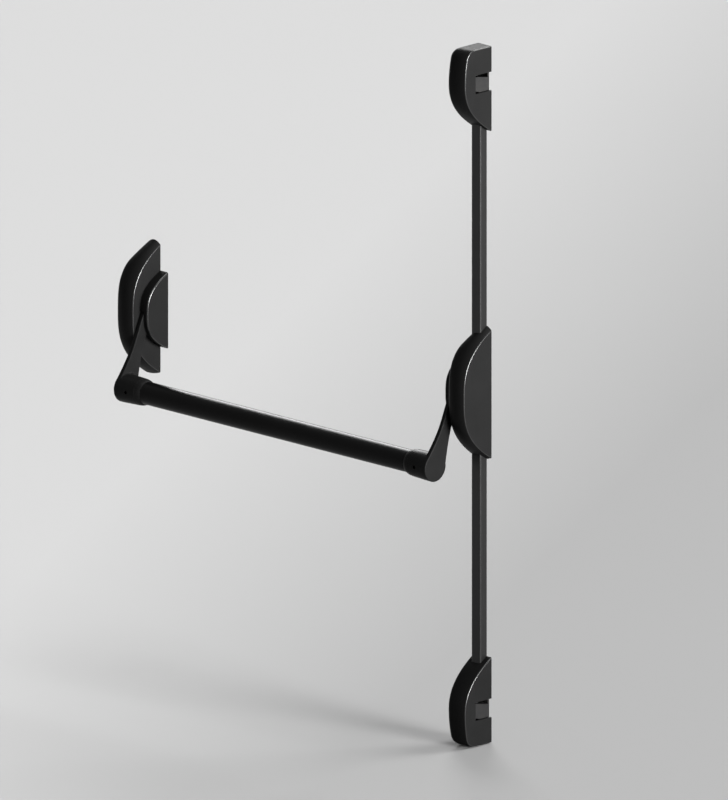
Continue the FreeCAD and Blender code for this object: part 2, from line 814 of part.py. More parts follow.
def rod_clips(z0, z1):
    half = rod_cover_half_w - rod_cover_wall - clip_gap
    front = rod_cover_depth - rod_cover_wall - clip_gap
    pieces = []
    for i in range(clip_count):
        z = z0 + (z1 - z0) * (i + 0.5) / clip_count
        body = block(-half, half, 0, front, z - clip_h / 2, z + clip_h / 2)
        bore = bar_z(rod_r + running_gap, z - clip_h, z + clip_h, 0, rod_out)
        pieces.append(body.cut(bore))
    return pieces


def release_slide():
    # Drawn for the upper latch, about the middle of the latch case.
    top = slide_block_low + carrier_block_h
    half = carrier_x1
    body = block(-half - 1, half, block_back_out, rod_out + block_half_d, slide_block_low, top)
    wing_x1 = -half
    strip_z = tail_z - (wedge_out - wing_strip_out) / wedge_slope
    wedge_top = tail_z + wedge_over
    outline = [(wing_back_out, slide_block_low + wing_t), (wing_strip_out, slide_block_low + wing_t),
               (wing_strip_out, strip_z), (wedge_out + wedge_slope * wedge_over, wedge_top),
               (wing_back_out, wedge_top)]
    wing = plate(outline, wing_x1 - wing_t, wing_x1)
    bore = bar_z(rod_r, slide_block_low - 1, top + 1, 0, rod_out)
    return join([body, wing]).cut(bore)


# Latch cases

def latch_outline(x, depth, top, drop, corner, behind):
    # Flat top, rounded corner, a front that leans a little, and a long curve back to the door.
    points = []
    for i in range(9):
        share = (i - 8) / 8
        out = turned_in(depth, share, latch_power)
        points.append(Vector(x, -out, latch_waist + (drop + latch_waist) * share))
    front = depth - latch_lean
    high = top - corner
    points.append(Vector(x, -(depth - latch_lean / 4), (latch_waist + high) / 2))
    points.append(Vector(x, -front, high))
    for deg in (30, 60, 90):
        a = math.radians(deg)
        points.append(Vector(x, -(front - corner + corner * math.cos(a)),
                             high + corner * math.sin(a)))
    curve = Part.BSplineCurve()
    curve.interpolate(points)
    back_top = Vector(x, behind, top)
    edges = [curve.toShape(), Part.makeLine(points[-1], back_top)]
    if behind > 0:
        back_low = Vector(x, behind, -drop)
        edges.append(Part.makeLine(back_top, back_low))
        edges.append(Part.makeLine(back_low, points[0]))
    else:
        edges.append(Part.makeLine(back_top, points[0]))
    return Part.Wire(edges)


def latch_body(half_w, depth, top, drop, corner, behind):
    sections = [latch_outline(x, depth + (latch_crown if x == 0 else 0.0), top, drop, corner, behind)
                for x in (-half_w, 0.0, half_w)]
    return Part.makeLoft(sections, True, False)


def latch_screw_hole(z):
    return mirror_x(cover_screw_hole(latch_half_w, latch_screw_out, z, 2 * latch_wall))


def latch_cover():
    outer = latch_body(latch_half_w, latch_depth, latch_top, latch_drop, latch_corner, 0.0)
    outer = round_front_edge(outer, latch_half_w, latch_right_round, latch_right_round)
    outer = round_front_edge(outer, -latch_half_w, latch_left_foot, latch_left_top)
    w = latch_wall
    inner = latch_body(latch_half_w - w, latch_depth - w, latch_top - w, latch_drop - w,
                       latch_corner - w, 1.0)
    inner = round_front_edge(inner, w - latch_half_w, latch_left_foot - w, latch_left_top - w)
    half = rod_cover_half_w + seat_gap
    tools = [block(latch_half_w - 2 * w, latch_half_w + 1, -1, window_depth,
                   window_z - window_half_h, window_z + window_half_h),
             block(-half, half, -1, rod_cover_depth + seat_gap, -latch_drop - 1,
                   latch_plate_bottom),
             latch_screw_hole(latch_screw_high), latch_screw_hole(latch_screw_low)]
    return outer.cut(inner).cut(tools)


def latch_screws():
    screws = []
    for z in (latch_screw_high, latch_screw_low):
        head = cone_x(cover_screw_r, cover_screw_head_r, latch_half_w - cover_screw_head_t,
                      latch_half_w - fit_gap, latch_screw_out, z)
        shank = bar_x(cover_screw_r, plate_half_w - tab_t, latch_half_w - cover_screw_head_t,
                      latch_screw_out, z)
        socket = bar_x(cover_screw_r / 2, latch_half_w - 1, latch_half_w, latch_screw_out, z)
        screws.append(mirror_x(join([head, shank]).cut(socket)))
    return screws


def latch_base():
    # The steel base: the plate on the door, two lugs that hold the pawl pin, a guide for the rod,
    # two tabs for the cover screws and a stop for the fixed leg of the pawl spring.
    body = block(-plate_half_w, plate_half_w, 0, plate_t, latch_plate_bottom, latch_plate_top)
    lug_x0 = pawl_x - knuckle_r - 1
    pieces = [body]
    for z in (lug_low - lug_t, lug_high):
        pieces.append(block(lug_x0, plate_half_w, 0, lug_front, z, z + lug_t))
    stop_out = pawl_out - pawl_spring_r + pawl_spring_wire / 2 + seat_gap
    stop_x0 = lug_x0 - stop_w - 4
    pieces.append(block(stop_x0, lug_x0 + 1, stop_out, stop_out + stop_w, lug_high, lug_high + lug_t))
    pieces.append(block(stop_x0, stop_x0 + stop_w, stop_out, stop_out + stop_w,
                        pawl_spring_z + 1, lug_high + lug_t))
    guide_front = rod_out + block_half_d + 0.5
    pieces.append(block(-9, 9, 0, guide_front, latch_guide_z, latch_guide_z + latch_guide_t))
    for z in (latch_screw_high, latch_screw_low):
        pieces.append(block(-plate_half_w, -plate_half_w + tab_t, 0, latch_screw_out + tab_half,
                            z - tab_half, z + tab_half))
    tools = [bar_z(rod_r + running_gap, latch_guide_z - 1, latch_guide_z + latch_guide_t + 1,
                   0, rod_out),
             bar_z(pawl_pin_r, lug_low - lug_t - 1, lug_high + lug_t + 1, pawl_x, pawl_out)]
    for z in (latch_screw_high, latch_screw_low):
        tools.append(bar_x(cover_screw_r, -plate_half_w - 1, -plate_half_w + tab_t + 1,
                           latch_screw_out, z))
    tools += [bar_out(door_hole_r, -1, plate_t + 1, x, z)
              for x in (-door_hole_x, door_hole_x) for z in (latch_hole_bottom, latch_hole_top)]
    return join(pieces).cut(tools)


def pawl_pin():
    return bar_z(pawl_pin_r, lug_low - lug_t, lug_high + lug_t, pawl_x, pawl_out)


def pawl_tail():
    # The knuckle on the pin, and the tail whose rounded nose rides on the slide's wedge.
    knuckle = bar_z(knuckle_r, knuckle_low, knuckle_high, pawl_x, pawl_out)
    tail = block(tail_tip_x, pawl_x, pawl_out - tail_half_d, pawl_out + tail_half_d,
                 tail_z - tail_half_h, tail_z + tail_half_h)
    x0 = tail_tip_x + 0.5
    x1 = x0 + tail_half_d
    nose = bar_x(nose_r, x0, x1, nose_out, tail_z)
    neck = block(x0, x1, nose_out, pawl_out, tail_z - nose_r, tail_z + nose_r)
    return join([knuckle, tail, nose, neck])


def pawl_blade(centre_z):
    # The blade and its raised face, which almost fills the window. The upper edge falls towards
    # the door and the foot is cut back.
    high = centre_z + blade_front_half
    low = centre_z - blade_front_half
    foot = centre_z - blade_foot
    outline = [(pawl_out, high), (pawl_out - 10, high - blade_top_fall),
               (block_back_out, centre_z + blade_back_top), (block_back_out, foot),
               (blade_foot_out, foot), (pawl_out - 8, low), (pawl_out, low)]
    half_h = window_half_h - side_gap
    window = block(pawl_x, pawl_face_x, pawl_face_back, pawl_face_front,
                   centre_z - half_h, centre_z + half_h)
    face = plate(outline, pawl_x, pawl_face_x).common(window)
    return join([plate(outline, pawl_x - pawl_t / 2, pawl_x + pawl_t / 2), face])


def pawl(sign):
    tail = pawl_tail() if sign > 0 else mirror_z(pawl_tail())
    body = join([tail, pawl_blade(sign * window_z)])
    bore = bar_z(pawl_pin_r + running_gap, -latch_drop, latch_top, pawl_x, pawl_out)
    spring_room = bar_z(pawl_spring_r + pawl_spring_wire, knuckle_high, latch_top,
                        pawl_x, pawl_out)
    if sign < 0:
        spring_room = mirror_z(spring_room)
    return moved(body.cut([bore, spring_room]), z=sign * latch_height)


def pawl_spring():
    # Wound round the pin above the knuckle. One leg lies on the blade and one on the stop.
    spring = coil(pawl_spring_r, pawl_spring_pitch, pawl_spring_turns, pawl_spring_wire, 180,
                  pawl_spring_leg, pawl_spring_leg)
    spring.translate(Vector(pawl_x, -pawl_out, pawl_spring_z))
    return spring


def build():
    save("main_back_plate", [at_main(back_plate())])
    save("main_chassis", [at_main(main_chassis())])
    save("main_bushes", [at_main(b) for b in bushes()])
    save("main_stop_buffer", [at_main(stop_buffer())])
    save("main_rod_guides", rod_guides())
    save("main_cover", [case_cover(-1, True)])
    save("main_inner_cover", [at_main(inner_cover())])
    save("main_cover_screws", [at_main(s) for s in case_cover_screws()])

    save("pivot_back_plate", [at_pivot(back_plate())])
    save("pivot_chassis", [at_pivot(pivot_chassis())])
    save("pivot_bushes", [at_pivot(b) for b in bushes()])
    save("pivot_stop_buffer", [at_pivot(stop_buffer())])
    save("pivot_cover", [at_pivot(case_cover(1, False))])
    save("pivot_inner_cover", [at_pivot(inner_cover())])
    save("pivot_cover_screws", [at_pivot(s) for s in case_cover_screws()])
    save("pivot_return_spring", [at_pivot(return_spring())])
    save("pivot_spring_hub", [at_pivot(spring_hub())])
    save("pivot_shaft", [at_pivot(shaft())])
    save("pivot_arm", [at_pivot(arm())])

    save("main_shaft", [at_main(shaft()).cut(roll_pin())])
    save("main_arm", [at_main(arm())])
    save("drive_cam", [drive_cam()])
    save("cam_roll_pin", [roll_pin()])
    save("crank_pins", crank_pins())
    save("crank_pin_clips", crank_pin_clips())
    save("shaft_spacers", shaft_spacers())
    save("push_tube", [push_tube()])
    save("tube_collars", [at_main(tube_collar()), at_pivot(tube_collar())])
    save("tube_set_screws", [at_main(set_screw()), at_pivot(set_screw())])
    save("arm_screws", [at_main(arm_screw()), at_pivot(arm_screw())])

    rod_top = latch_height + slide_block_low + carrier_block_h
    save("upper_rod", [bar_z(rod_r, upper_block_z, rod_top, 0, rod_out)])
    save("lower_rod", [bar_z(rod_r, -rod_top, lower_block_z + carrier_block_h, 0, rod_out)])
    save("upper_rod_carrier", [upper_carrier()])
    save("lower_rod_carrier", [lower_carrier()])
    slide_nut = latch_height + slide_block_low - nut_t
    save("upper_rod_nuts", [hex_nut(upper_block_z + carrier_block_h), hex_nut(slide_nut)])
    save("lower_rod_nuts", [hex_nut(lower_block_z - nut_t), mirror_z(hex_nut(slide_nut))])
    save("upper_rod_collar", [ring_z(rod_r, rod_collar_r, collar_top_z,
                                     collar_top_z + rod_collar_t, 0, rod_out)])
    save("lower_rod_collar", [ring_z(rod_r, rod_collar_r, collar_bottom_z - rod_collar_t,
                                     collar_bottom_z, 0, rod_out)])
    save("upper_rod_spring", [rod_spring(ear_top, collar_top_z)])
    save("lower_rod_spring", [rod_spring(collar_bottom_z, ear_bottom)])
    save("upper_release_slide", [at_upper(release_slide())])
    save("lower_release_slide", [at_lower(release_slide())])

    save("upper_rod_cover", [rod_cover(rod_cover_tuck_top, rod_cover_end)])
    save("lower_rod_cover", [rod_cover(-rod_cover_end, -rod_cover_tuck_bottom)])
    save("upper_rod_clips", rod_clips(rod_cover_tuck_top, rod_cover_end))
    save("lower_rod_clips", rod_clips(-rod_cover_end, -rod_cover_tuck_bottom))

    save("upper_latch_base", [at_upper(latch_base())])
    save("lower_latch_base", [at_lower(latch_base())])
    save("upper_latch_cover", [at_upper(latch_cover())])
    save("lower_latch_cover", [at_lower(latch_cover())])
    save("upper_latch_screws", [at_upper(s) for s in latch_screws()])
    save("lower_latch_screws", [at_lower(s) for s in latch_screws()])
    save("upper_pawl_pin", [at_upper(pawl_pin())])
    save("lower_pawl_pin", [at_lower(pawl_pin())])
    save("upper_pawl_spring", [at_upper(pawl_spring())])
    save("lower_pawl_spring", [at_lower(pawl_spring())])
    save("upper_pawl", [pawl(1)])
    save("lower_pawl", [pawl(-1)])


build()
print("stroke of the rods", round(stroke, 3), "mm, ratio", round(stroke / swing, 5), "mm per radian")
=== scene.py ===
import json
import math
import bmesh
import bpy
import numpy as np
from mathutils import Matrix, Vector


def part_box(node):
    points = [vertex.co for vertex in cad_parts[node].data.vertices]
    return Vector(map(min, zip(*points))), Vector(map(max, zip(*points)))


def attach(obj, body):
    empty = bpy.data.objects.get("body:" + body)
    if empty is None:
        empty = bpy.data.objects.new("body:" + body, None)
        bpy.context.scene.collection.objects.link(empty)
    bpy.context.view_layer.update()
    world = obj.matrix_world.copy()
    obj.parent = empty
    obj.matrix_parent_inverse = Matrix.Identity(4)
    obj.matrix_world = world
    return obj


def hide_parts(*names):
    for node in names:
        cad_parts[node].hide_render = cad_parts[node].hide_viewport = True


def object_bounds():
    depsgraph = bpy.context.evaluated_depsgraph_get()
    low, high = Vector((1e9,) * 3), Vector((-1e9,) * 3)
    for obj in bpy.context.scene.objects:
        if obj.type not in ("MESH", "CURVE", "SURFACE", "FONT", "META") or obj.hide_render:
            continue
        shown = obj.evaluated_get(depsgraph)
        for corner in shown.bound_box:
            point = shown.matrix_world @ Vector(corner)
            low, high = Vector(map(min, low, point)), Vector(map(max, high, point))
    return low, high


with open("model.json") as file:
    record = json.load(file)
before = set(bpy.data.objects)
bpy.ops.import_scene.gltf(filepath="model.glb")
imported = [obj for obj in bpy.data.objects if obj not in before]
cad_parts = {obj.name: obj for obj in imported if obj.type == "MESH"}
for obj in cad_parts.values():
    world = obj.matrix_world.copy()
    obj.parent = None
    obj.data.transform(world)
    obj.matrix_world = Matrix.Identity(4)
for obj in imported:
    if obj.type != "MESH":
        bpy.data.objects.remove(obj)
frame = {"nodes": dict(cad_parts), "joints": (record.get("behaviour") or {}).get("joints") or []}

# Panic bar with two vertical rods. Metres, +X right along the door, +Z up. The door face is the
# plane y = 0 and the device stands out towards -Y, so "out" means the distance from the door.
mm = 0.001
fitGap = 0.05 * mm      # between pieces that plug together
sharpFrom = 32.0        # degrees between two faces that meet in a sharp edge
alongX = (1, 0, 0)
cadLow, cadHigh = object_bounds()
print("stage: frame loaded,", len(frame["nodes"]), "nodes")

swingJoint = [joint for joint in frame["joints"] if joint["name"] == "bar_swing"][0]
pivotOut = -swingJoint["pos_m"][1]
pivotZ = swingJoint["pos_m"][2]
pivotCaseX = sum(corner.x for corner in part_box("pivot_back_plate")) / 2


def boxOf(name):
    low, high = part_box(name)
    return np.array(low), np.array(high)


# Camera: the photograph is a parallel view from the right and above. The object's origin, the
# middle of the main case on the door face, lies at originPixel of its 728 x 800 frame.
photo = {
    "width": 728, "height": 800,
    "azimuth": 45.0, "elevation": 15.0,
    "pixelsPerMetre": 777.0,
    "originPixel": (482.3, 391.9),
    "distance": 4.0, "clipEnd": 30.0,
}


def makeCamera():
    turn, rise = math.radians(photo["azimuth"]), math.radians(photo["elevation"])
    right = Vector((math.cos(turn), math.sin(turn), 0))
    back = Vector((math.sin(turn) * math.cos(rise), -math.cos(turn) * math.cos(rise),
                   math.sin(rise)))
    up = back.cross(right)
    pixelX, pixelY = photo["originPixel"]
    aim = right * (photo["width"] / 2 - pixelX) + up * (pixelY - photo["height"] / 2)
    aim = aim / photo["pixelsPerMetre"]
    data = bpy.data.cameras.new("photoCamera")
    data.type = "ORTHO"
    data.ortho_scale = photo["height"] / photo["pixelsPerMetre"]
    data.clip_end = photo["clipEnd"]
    camera = bpy.data.objects.new("photoCamera", data)
    camera.location = aim + back * photo["distance"]
    camera.rotation_mode = "QUATERNION"
    camera.rotation_quaternion = back.to_track_quat("Z", "Y")
    bpy.context.scene.collection.objects.link(camera)
    bpy.context.scene.camera = camera


makeCamera()
print("stage: camera")


# Meshes

class Form:
    # Grids of points collected into one mesh. Every grid is an array [row, column, xyz], and four
    # neighbouring points make a face. The wear mark is 1 on edges that hands and cloths rub, and
    # the
    # finishes paint those edges paler: partly wear, partly a painted highlight.
    def __init__(self):
        self.points, self.quads, self.wear, self.caps, self.count = [], [], [], [], 0

    def keep(self, points, wear):
        # Adds the points, and gives the number of the first.
        first = self.count
        self.points.append(points.reshape(-1, 3))
        self.wear.append(np.broadcast_to(wear, points.shape[:-1]).reshape(-1))
        self.count += self.points[-1].shape[0]
        return first

    def addGrid(self, grid, wear=0.0, loop=False):
        rows, columns = grid.shape[:2]
        number = np.arange(rows * columns).reshape(rows, columns) + self.keep(grid, wear)
        if loop:
            number = np.vstack([number, number[:1]])
        corners = [number[:-1, :-1], number[1:, :-1], number[1:, 1:], number[:-1, 1:]]
        self.quads.append(np.stack(corners, axis=-1).reshape(-1, 4))

    def addCap(self, ring):
        # A flat face whose corners are the points of the ring, in order.
        first = self.keep(ring, 0.0)
        self.caps.append(list(range(first, first + len(ring))))

    def addShell(self, outer, inner, wear):
        # Two grids of one size, a wall apart, with their four borders joined by strips.
        self.addGrid(outer, wear)
        self.addGrid(inner)
        for edge in (0, -1):
            self.addGrid(np.stack([outer[edge], inner[edge]]))
            self.addGrid(np.stack([outer[:, edge], inner[:, edge]]))

    def toObject(self, name, weld=2e-6):
        # Points nearer than weld become one, and the faces are turned outwards.
        quads = np.concatenate(self.quads) if self.quads else np.zeros((0, 4), int)
        faces = quads.tolist() + self.caps
        mesh = bpy.data.meshes.new(name)
        mesh.from_pydata(np.concatenate(self.points), [], faces)
        layer = mesh.attributes.new("wear", "FLOAT", "POINT")
        layer.data.foreach_set("value", np.concatenate(self.wear).astype(np.float32))
        shape = bmesh.new()
        shape.from_mesh(mesh)
        bmesh.ops.remove_doubles(shape, verts=shape.verts, dist=weld)
        bmesh.ops.dissolve_degenerate(shape, edges=shape.edges, dist=weld / 2)
        bmesh.ops.recalc_face_normals(shape, faces=shape.faces)
        shape.to_mesh(mesh)
        shape.free()
        piece = bpy.data.objects.new(name, mesh)
        bpy.context.scene.collection.objects.link(piece)
        return piece


def carve(piece, cutters):
    # Takes closed forms away from a piece, then leaves it as a plain mesh again.
    for number, cutter in enumerate(cutters):
        tool = cutter.toObject("cutter%d" % number)
        step = piece.modifiers.new("carve", "BOOLEAN")
        step.operation, step.solver, step.object = "DIFFERENCE", "EXACT", tool
        scene = bpy.context.evaluated_depsgraph_get()
        scene.update()
        carved = bpy.data.meshes.new_from_object(piece.evaluated_get(scene))
        piece.modifiers.clear()
        old = piece.data
        piece.data = carved
        bpy.data.meshes.remove(old)
        bpy.data.objects.remove(tool)


def place(piece, body, slot, node):
    # Shades a piece, gives it its finish and body, and hides the CAD node that it stands for.
    piece.data.shade_smooth()
    piece.data.set_sharp_from_angle(angle=math.radians(sharpFrom))
    piece.data.materials.clear()
    piece.data.materials.append(finishes[slot])
    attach(piece, body)
    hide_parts(node)


def turned(profile, origin, axis, count=96):
    # A profile of (along, radius) carried round an axis:
    # point = origin + along times the axis + radius times (cos, sin) across the axis.
    axis = np.array(axis, float)
    across = np.array([0.0, 0.0, 1.0]) if abs(axis[2]) < 0.5 else np.array([1.0, 0.0, 0.0])
    third = np.cross(axis, across)
    angle = np.linspace(0, 2 * np.pi, count, endpoint=False)[:, None]
    ring = np.cos(angle) * across + np.sin(angle) * third
    profile = np.array(profile, float)
    lengthwise = np.array(origin, float) + profile[:, :1] * axis
    return lengthwise[None] + ring[:, None, :] * profile[None, :, 1:]


def pin(radius, start, end, origin, axis, count=32):
    # A closed cylinder between two places along an axis.
    form = Form()
    form.addGrid(turned([(start, 0), (start, radius), (end, radius), (end, 0)], origin, axis,
                        count), loop=True)
    return form


def prism(outline, x0, x1):
    # A closed outline of (out, z) carried straight across from x0 to x1.
    outline = np.array(outline, float)
    ends = [np.stack([np.full(len(outline), x), -outline[:, 0], outline[:, 1]], axis=1)
            for x in (x0, x1)]
    form = Form()
    form.addGrid(np.stack(ends, axis=1), loop=True)
    for end in ends:
        form.addCap(end)
    return form


def slab(x0, x1, out0, out1, z0, z1):
    # A block between two places across, two distances from the door and two heights.
    return prism([(out0, z0), (out1, z0), (out1, z1), (out0, z1)], x0, x1)


# Shader maths

class Wire:
    # A socket that can stand in a sum: every sign adds its Math node.
    def __init__(self, sheet, socket):
        self.sheet, self.socket = sheet, socket

    def __add__(self, other):
        return self.sheet.maths("ADD", self, other)

    __radd__ = __add__

    def __sub__(self, other):
        return self.sheet.maths("SUBTRACT", self, other)

    def __rsub__(self, other):
        return self.sheet.maths("SUBTRACT", other, self)

    def __mul__(self, other):
        return self.sheet.maths("MULTIPLY", self, other)

    __rmul__ = __mul__


class Sheet:
    # A tree of nodes, and the one way to make a node in it.
    def __init__(self, tree):
        self.tree = tree

    def join(self, value, socket):
        # A wire or a socket is linked, and anything else is set.
        if isinstance(value, Wire):
            value = value.socket
        if isinstance(value, bpy.types.NodeSocket):
            self.tree.links.new(value, socket)
        else:
            socket.default_value = value

    def add(self, kind, settings={}, inputs={}):
        # A node's type, its settings, then values or links for its sockets.
        node = self.tree.nodes.new(kind)
        for name, value in settings.items():
            setattr(node, name, value)
        for name, value in inputs.items():
            self.join(value, node.inputs[name])
        return node

    def maths(self, operation, a, b):
        node = self.add("ShaderNodeMath", {"operation": operation}, {0: a, 1: b})
        return Wire(self, node.outputs[0])


class Finish(Sheet):
    # One material made from a look: a sheet of nodes that ends in a Principled BSDF.
    def __init__(self, name, look, **fixed):
        self.look, self.made = look, {}
        self.material = bpy.data.materials.new(name)
        self.material.use_nodes = True
        super().__init__(self.material.node_tree)
        self.shader = self.tree.nodes["Principled BSDF"]
        for socket, value in fixed.items():
            self.feed(socket.replace("_", " "), value)
        self.place = self.add("ShaderNodeTexCoord").outputs["Object"]

    def feed(self, socket, value):
        self.join(value, self.shader.inputs[socket])

    def noise(self, scale, detail, roughness=0.55, stretch=None):
        where = self.place
        if stretch:
            where = self.add("ShaderNodeMapping", {}, {"Vector": where, "Scale": stretch})
            where = where.outputs[0]
        node = self.add("ShaderNodeTexNoise", {}, {"Vector": where, "Scale": scale,
                                                   "Detail": detail, "Roughness": roughness})
        return Wire(self, node.outputs["Fac"])

    def cells(self, scale):
        node = self.add("ShaderNodeTexVoronoi", {}, {"Vector": self.place, "Scale": scale})
        return Wire(self, node.outputs["Distance"])

    def band(self, wire, low, high):
        # 0 below low, 1 above high, straight between.
        node = self.add("ShaderNodeMapRange", {}, {"Value": wire, "From Min": low,
                                                   "From Max": high})
        return Wire(self, node.outputs[0])

    def texture(self, name):
        # The look's noise or cells of that name, spread over its band if it has one. Made once.
        if name not in self.made:
            value, band = self.look[name], self.look.get(name + "Band")
            wire = self.noise(*value) if isinstance(value, tuple) else self.cells(value)
            self.made[name] = self.band(wire, *band) if band else wire
        return self.made[name]

    def wear(self):
        node = self.add("ShaderNodeAttribute", {"attribute_name": "wear"})
        return Wire(self, node.outputs["Fac"])

    def blend(self, factor, first, second):
        # The Mix node's factor and its two colours are its inputs 0, 6 and 7, the colour output 2.
        node = self.add("ShaderNodeMix", {"data_type": "RGBA"}, {0: factor, 6: first, 7: second})
        return node.outputs[2]

    def uneven(self):
        # The look's roughness, more or less by half its spread in fine clouds.
        return self.look["rough"] + self.look["spread"] * (self.texture("fine") - 0.5)

    def emboss(self, *names):
        # Presses textures into the surface, the coarsest first.
        normal = None
        for name in names:
            depth, strength = self.look[name + "Press"]
            inputs = {"Height": self.texture(name), "Distance": depth, "Strength": strength}
            if normal:
                inputs["Normal"] = normal
            normal = self.add("ShaderNodeBump", {}, inputs).outputs[0]
        self.feed("Normal", normal)


def grey(value, warm=0.0):
    return (value * (1 + warm), value, value * (1 - warm), 1.0)


# Every finish has its own dictionary. A noise is (scale, detail) and may add (roughness, stretch),
# a number alone is the scale of cells. A name's band is (low, high), and its press is (depth in
# metres, strength).

def rubbedSheenCoat(name, look, **fixed):
    # A dark coat with slow changes of tone, paler and smoother where edges are rubbed. The paler
    # edge colour is partly wear and partly a painted highlight.
    finish = Finish(name, look, Specular_IOR_Level=look["specular"], **fixed)
    rub = finish.wear() * finish.texture("rub")
    colour = finish.blend(finish.texture("cloud"), grey(look["deep"]), grey(look["pale"]))
    # Painted highlight: the base colour turns paler where the wear mark and the rub noise meet on
    # an edge.
    finish.feed("Base Color", finish.blend(rub, colour, grey(look["rubbed"])))
    finish.feed("Roughness", finish.uneven() - look["rubShine"] * rub)
    return finish


plasticLook = {
    "deep": 0.0070, "pale": 0.0102, "rubbed": 0.012, "specular": 0.015, "polish": 0.22,
    "rough": 0.38, "spread": 0.09, "fine": (340, 3), "rubShine": 0.08,
    "cloud": (26, 4), "rub": (150, 4), "rubBand": (0.38, 0.62),
    "sink": (30, 2), "sinkPress": (0.0004, 0.10), "grain": 2600, "grainPress": (0.00006, 0.35),
}


def coverPlastic():
    # Moulded case plastic: sink marks, spark grain, and edges polished by cleaning, whose paler
    # colour is partly a painted highlight.
    finish = rubbedSheenCoat("coverPlastic", plasticLook, Coat_Roughness=plasticLook["polish"])
    finish.feed("Coat Weight", finish.wear())
    finish.emboss("sink", "grain")
    return finish.material


armLook = {
    "deep": 0.006, "pale": 0.010, "rubbed": 0.015, "specular": 0.025,
    "rough": 0.34, "spread": 0.12, "fine": (90, 2), "rubShine": 0.06,
    "cloud": (40, 4), "rub": (210, 4), "rubBand": (0.40, 0.66),
    "skin": (120, 2), "skinPress": (0.0003, 0.14), "peel": (420, 2), "peelPress": (0.00012, 0.3),
}


def armPaint():
    # Powder coat on a casting: orange peel over a faint casting skin.
    finish = rubbedSheenCoat("armPaint", armLook)
    finish.emboss("skin", "peel")
    return finish.material


tubeLook = {
    "deep": 0.0025, "pale": 0.005, "specular": 0.05, "rough": 0.30, "spread": 0.10,
    "fine": (18, 3), "peel": (520, 2), "peelPress": (0.00008, 0.22),
    "line": (1.0, 3, 0.6, (12, 900, 900)), "lineRough": 0.05, "linePress": (0.00004, 0.25),
}


def tubePaint():
    # Painted drawn tube: slow clouds, and very fine lines along it under the paint.
    look = tubeLook
    finish = Finish("tubePaint", look, Specular_IOR_Level=look["specular"])
    finish.feed("Base Color", finish.blend(finish.texture("fine"), grey(look["deep"]),
                                           grey(look["pale"])))
    line = finish.texture("line") - 0.5
    finish.feed("Roughness", finish.uneven() + look["lineRough"] * line)
    finish.emboss("peel", "line")
    return finish.material


channelLook = {
    "deep": 0.005, "pale": 0.0078, "rubbed": 0.016, "specular": 0.25,
    "rough": 0.30, "spread": 0.10, "fine": (260, 3), "rubShine": 0.08,
    "cloud": (22, 4, 0.5, (2.0, 2.0, 0.5)), "rub": (180, 4), "rubBand": (0.42, 0.66),
    "wave": (35, 2), "wavePress": (0.0003, 0.10), "peel": (700, 2), "peelPress": (0.00008, 0.3),
}


def coverChannel():
    # Roll-formed steel channel with a thin powder coat.
    finish = rubbedSheenCoat("coverChannel", channelLook)
    finish.emboss("wave", "peel")
    return finish.material


zincLook = {
    "blue": (0.50, 0.54, 0.58, 1.0), "straw": (0.60, 0.57, 0.48, 1.0),
    "cloud": (48, 5), "cloudBand": (0.35, 0.68), "rough": 0.36, "spread": 0.16, "fine": (160, 3),
    "bloom": 380, "bloomRough": 0.10, "bloomPress": (0.00005, 0.2),
    "skin": (1500, 2), "skinPress": (0.00003, 0.2),
}


def zincSteel():
    # Bright zinc plate: bluish with straw-coloured clouds and a fine crystalline bloom.
    look = zincLook
    finish = Finish("zincSteel", look, Metallic=1.0)
    finish.feed("Base Color", finish.blend(finish.texture("cloud"), look["blue"], look["straw"]))
    finish.feed("Roughness", finish.uneven() + look["bloomRough"] * finish.texture("bloom"))
    finish.emboss("bloom", "skin")
    return finish.material


darkLook = {
    "deep": (0.006, 0.006, 0.0065, 1.0), "pale": (0.012, 0.0115, 0.011, 1.0), "metallic": 0.55,
    "blotch": (110, 5), "blotchBand": (0.32, 0.70), "rough": 0.45, "spread": 0.18,
    "fine": (420, 3), "skin": (900, 3), "skinPress": (0.00006, 0.3),
}


def darkSteel():
    # Phosphated steel: a blotchy dark coat with a slight crystalline grain.
    look = darkLook
    finish = Finish("darkSteel", look, Metallic=look["metallic"])
    finish.feed("Base Color", finish.blend(finish.texture("blotch"), look["deep"], look["pale"]))
    finish.feed("Roughness", finish.uneven())
    finish.emboss("skin")
    return finish.material


springLook = {
    "bright": (0.48, 0.47, 0.46, 1.0), "blued": (0.30, 0.32, 0.38, 1.0),
    "heat": (140, 3), "heatBand": (0.40, 0.62), "rough": 0.28, "spread": 0.14, "fine": (800, 2),
    "skin": (1800, 2), "skinPress": (0.00002, 0.25),
}


def springSteel():
    # Spring wire: drawn bright, blued in patches by the tempering oven.
    look = springLook
    finish = Finish("springSteel", look, Metallic=1.0)
    finish.feed("Base Color", finish.blend(finish.texture("heat"), look["bright"], look["blued"]))
    finish.feed("Roughness", finish.uneven())
    finish.emboss("skin")
    return finish.material


bronzeLook = {
    "bright": (0.56, 0.38, 0.20, 1.0), "dull": (0.34, 0.21, 0.11, 1.0), "clean": 0.3,
    "pore": 1400, "poreBand": (0.05, 0.35), "porePress": (0.00005, 0.35),
    "rough": 0.44, "spread": 0.12, "fine": (90, 4),
}


def bushBronze():
    # Sintered bronze: open pores, and oil in the same clouds as the roughness darkens it.
    look = bronzeLook
    finish = Finish("bushBronze", look, Metallic=1.0)
    clean = finish.texture("pore") * finish.texture("fine") + look["clean"]
    finish.feed("Base Color", finish.blend(clean, look["dull"], look["bright"]))
    finish.feed("Roughness", finish.uneven())
    finish.emboss("pore")
    return finish.material


nylonLook = {
    "clean": (0.72, 0.70, 0.63, 1.0), "aged": (0.55, 0.51, 0.42, 1.0),
    "age": (60, 4), "ageBand": (0.40, 0.72), "rough": 0.48, "spread": 0.10, "fine": (240, 2),
    "skin": (900, 2), "skinPress": (0.00008, 0.2),
}


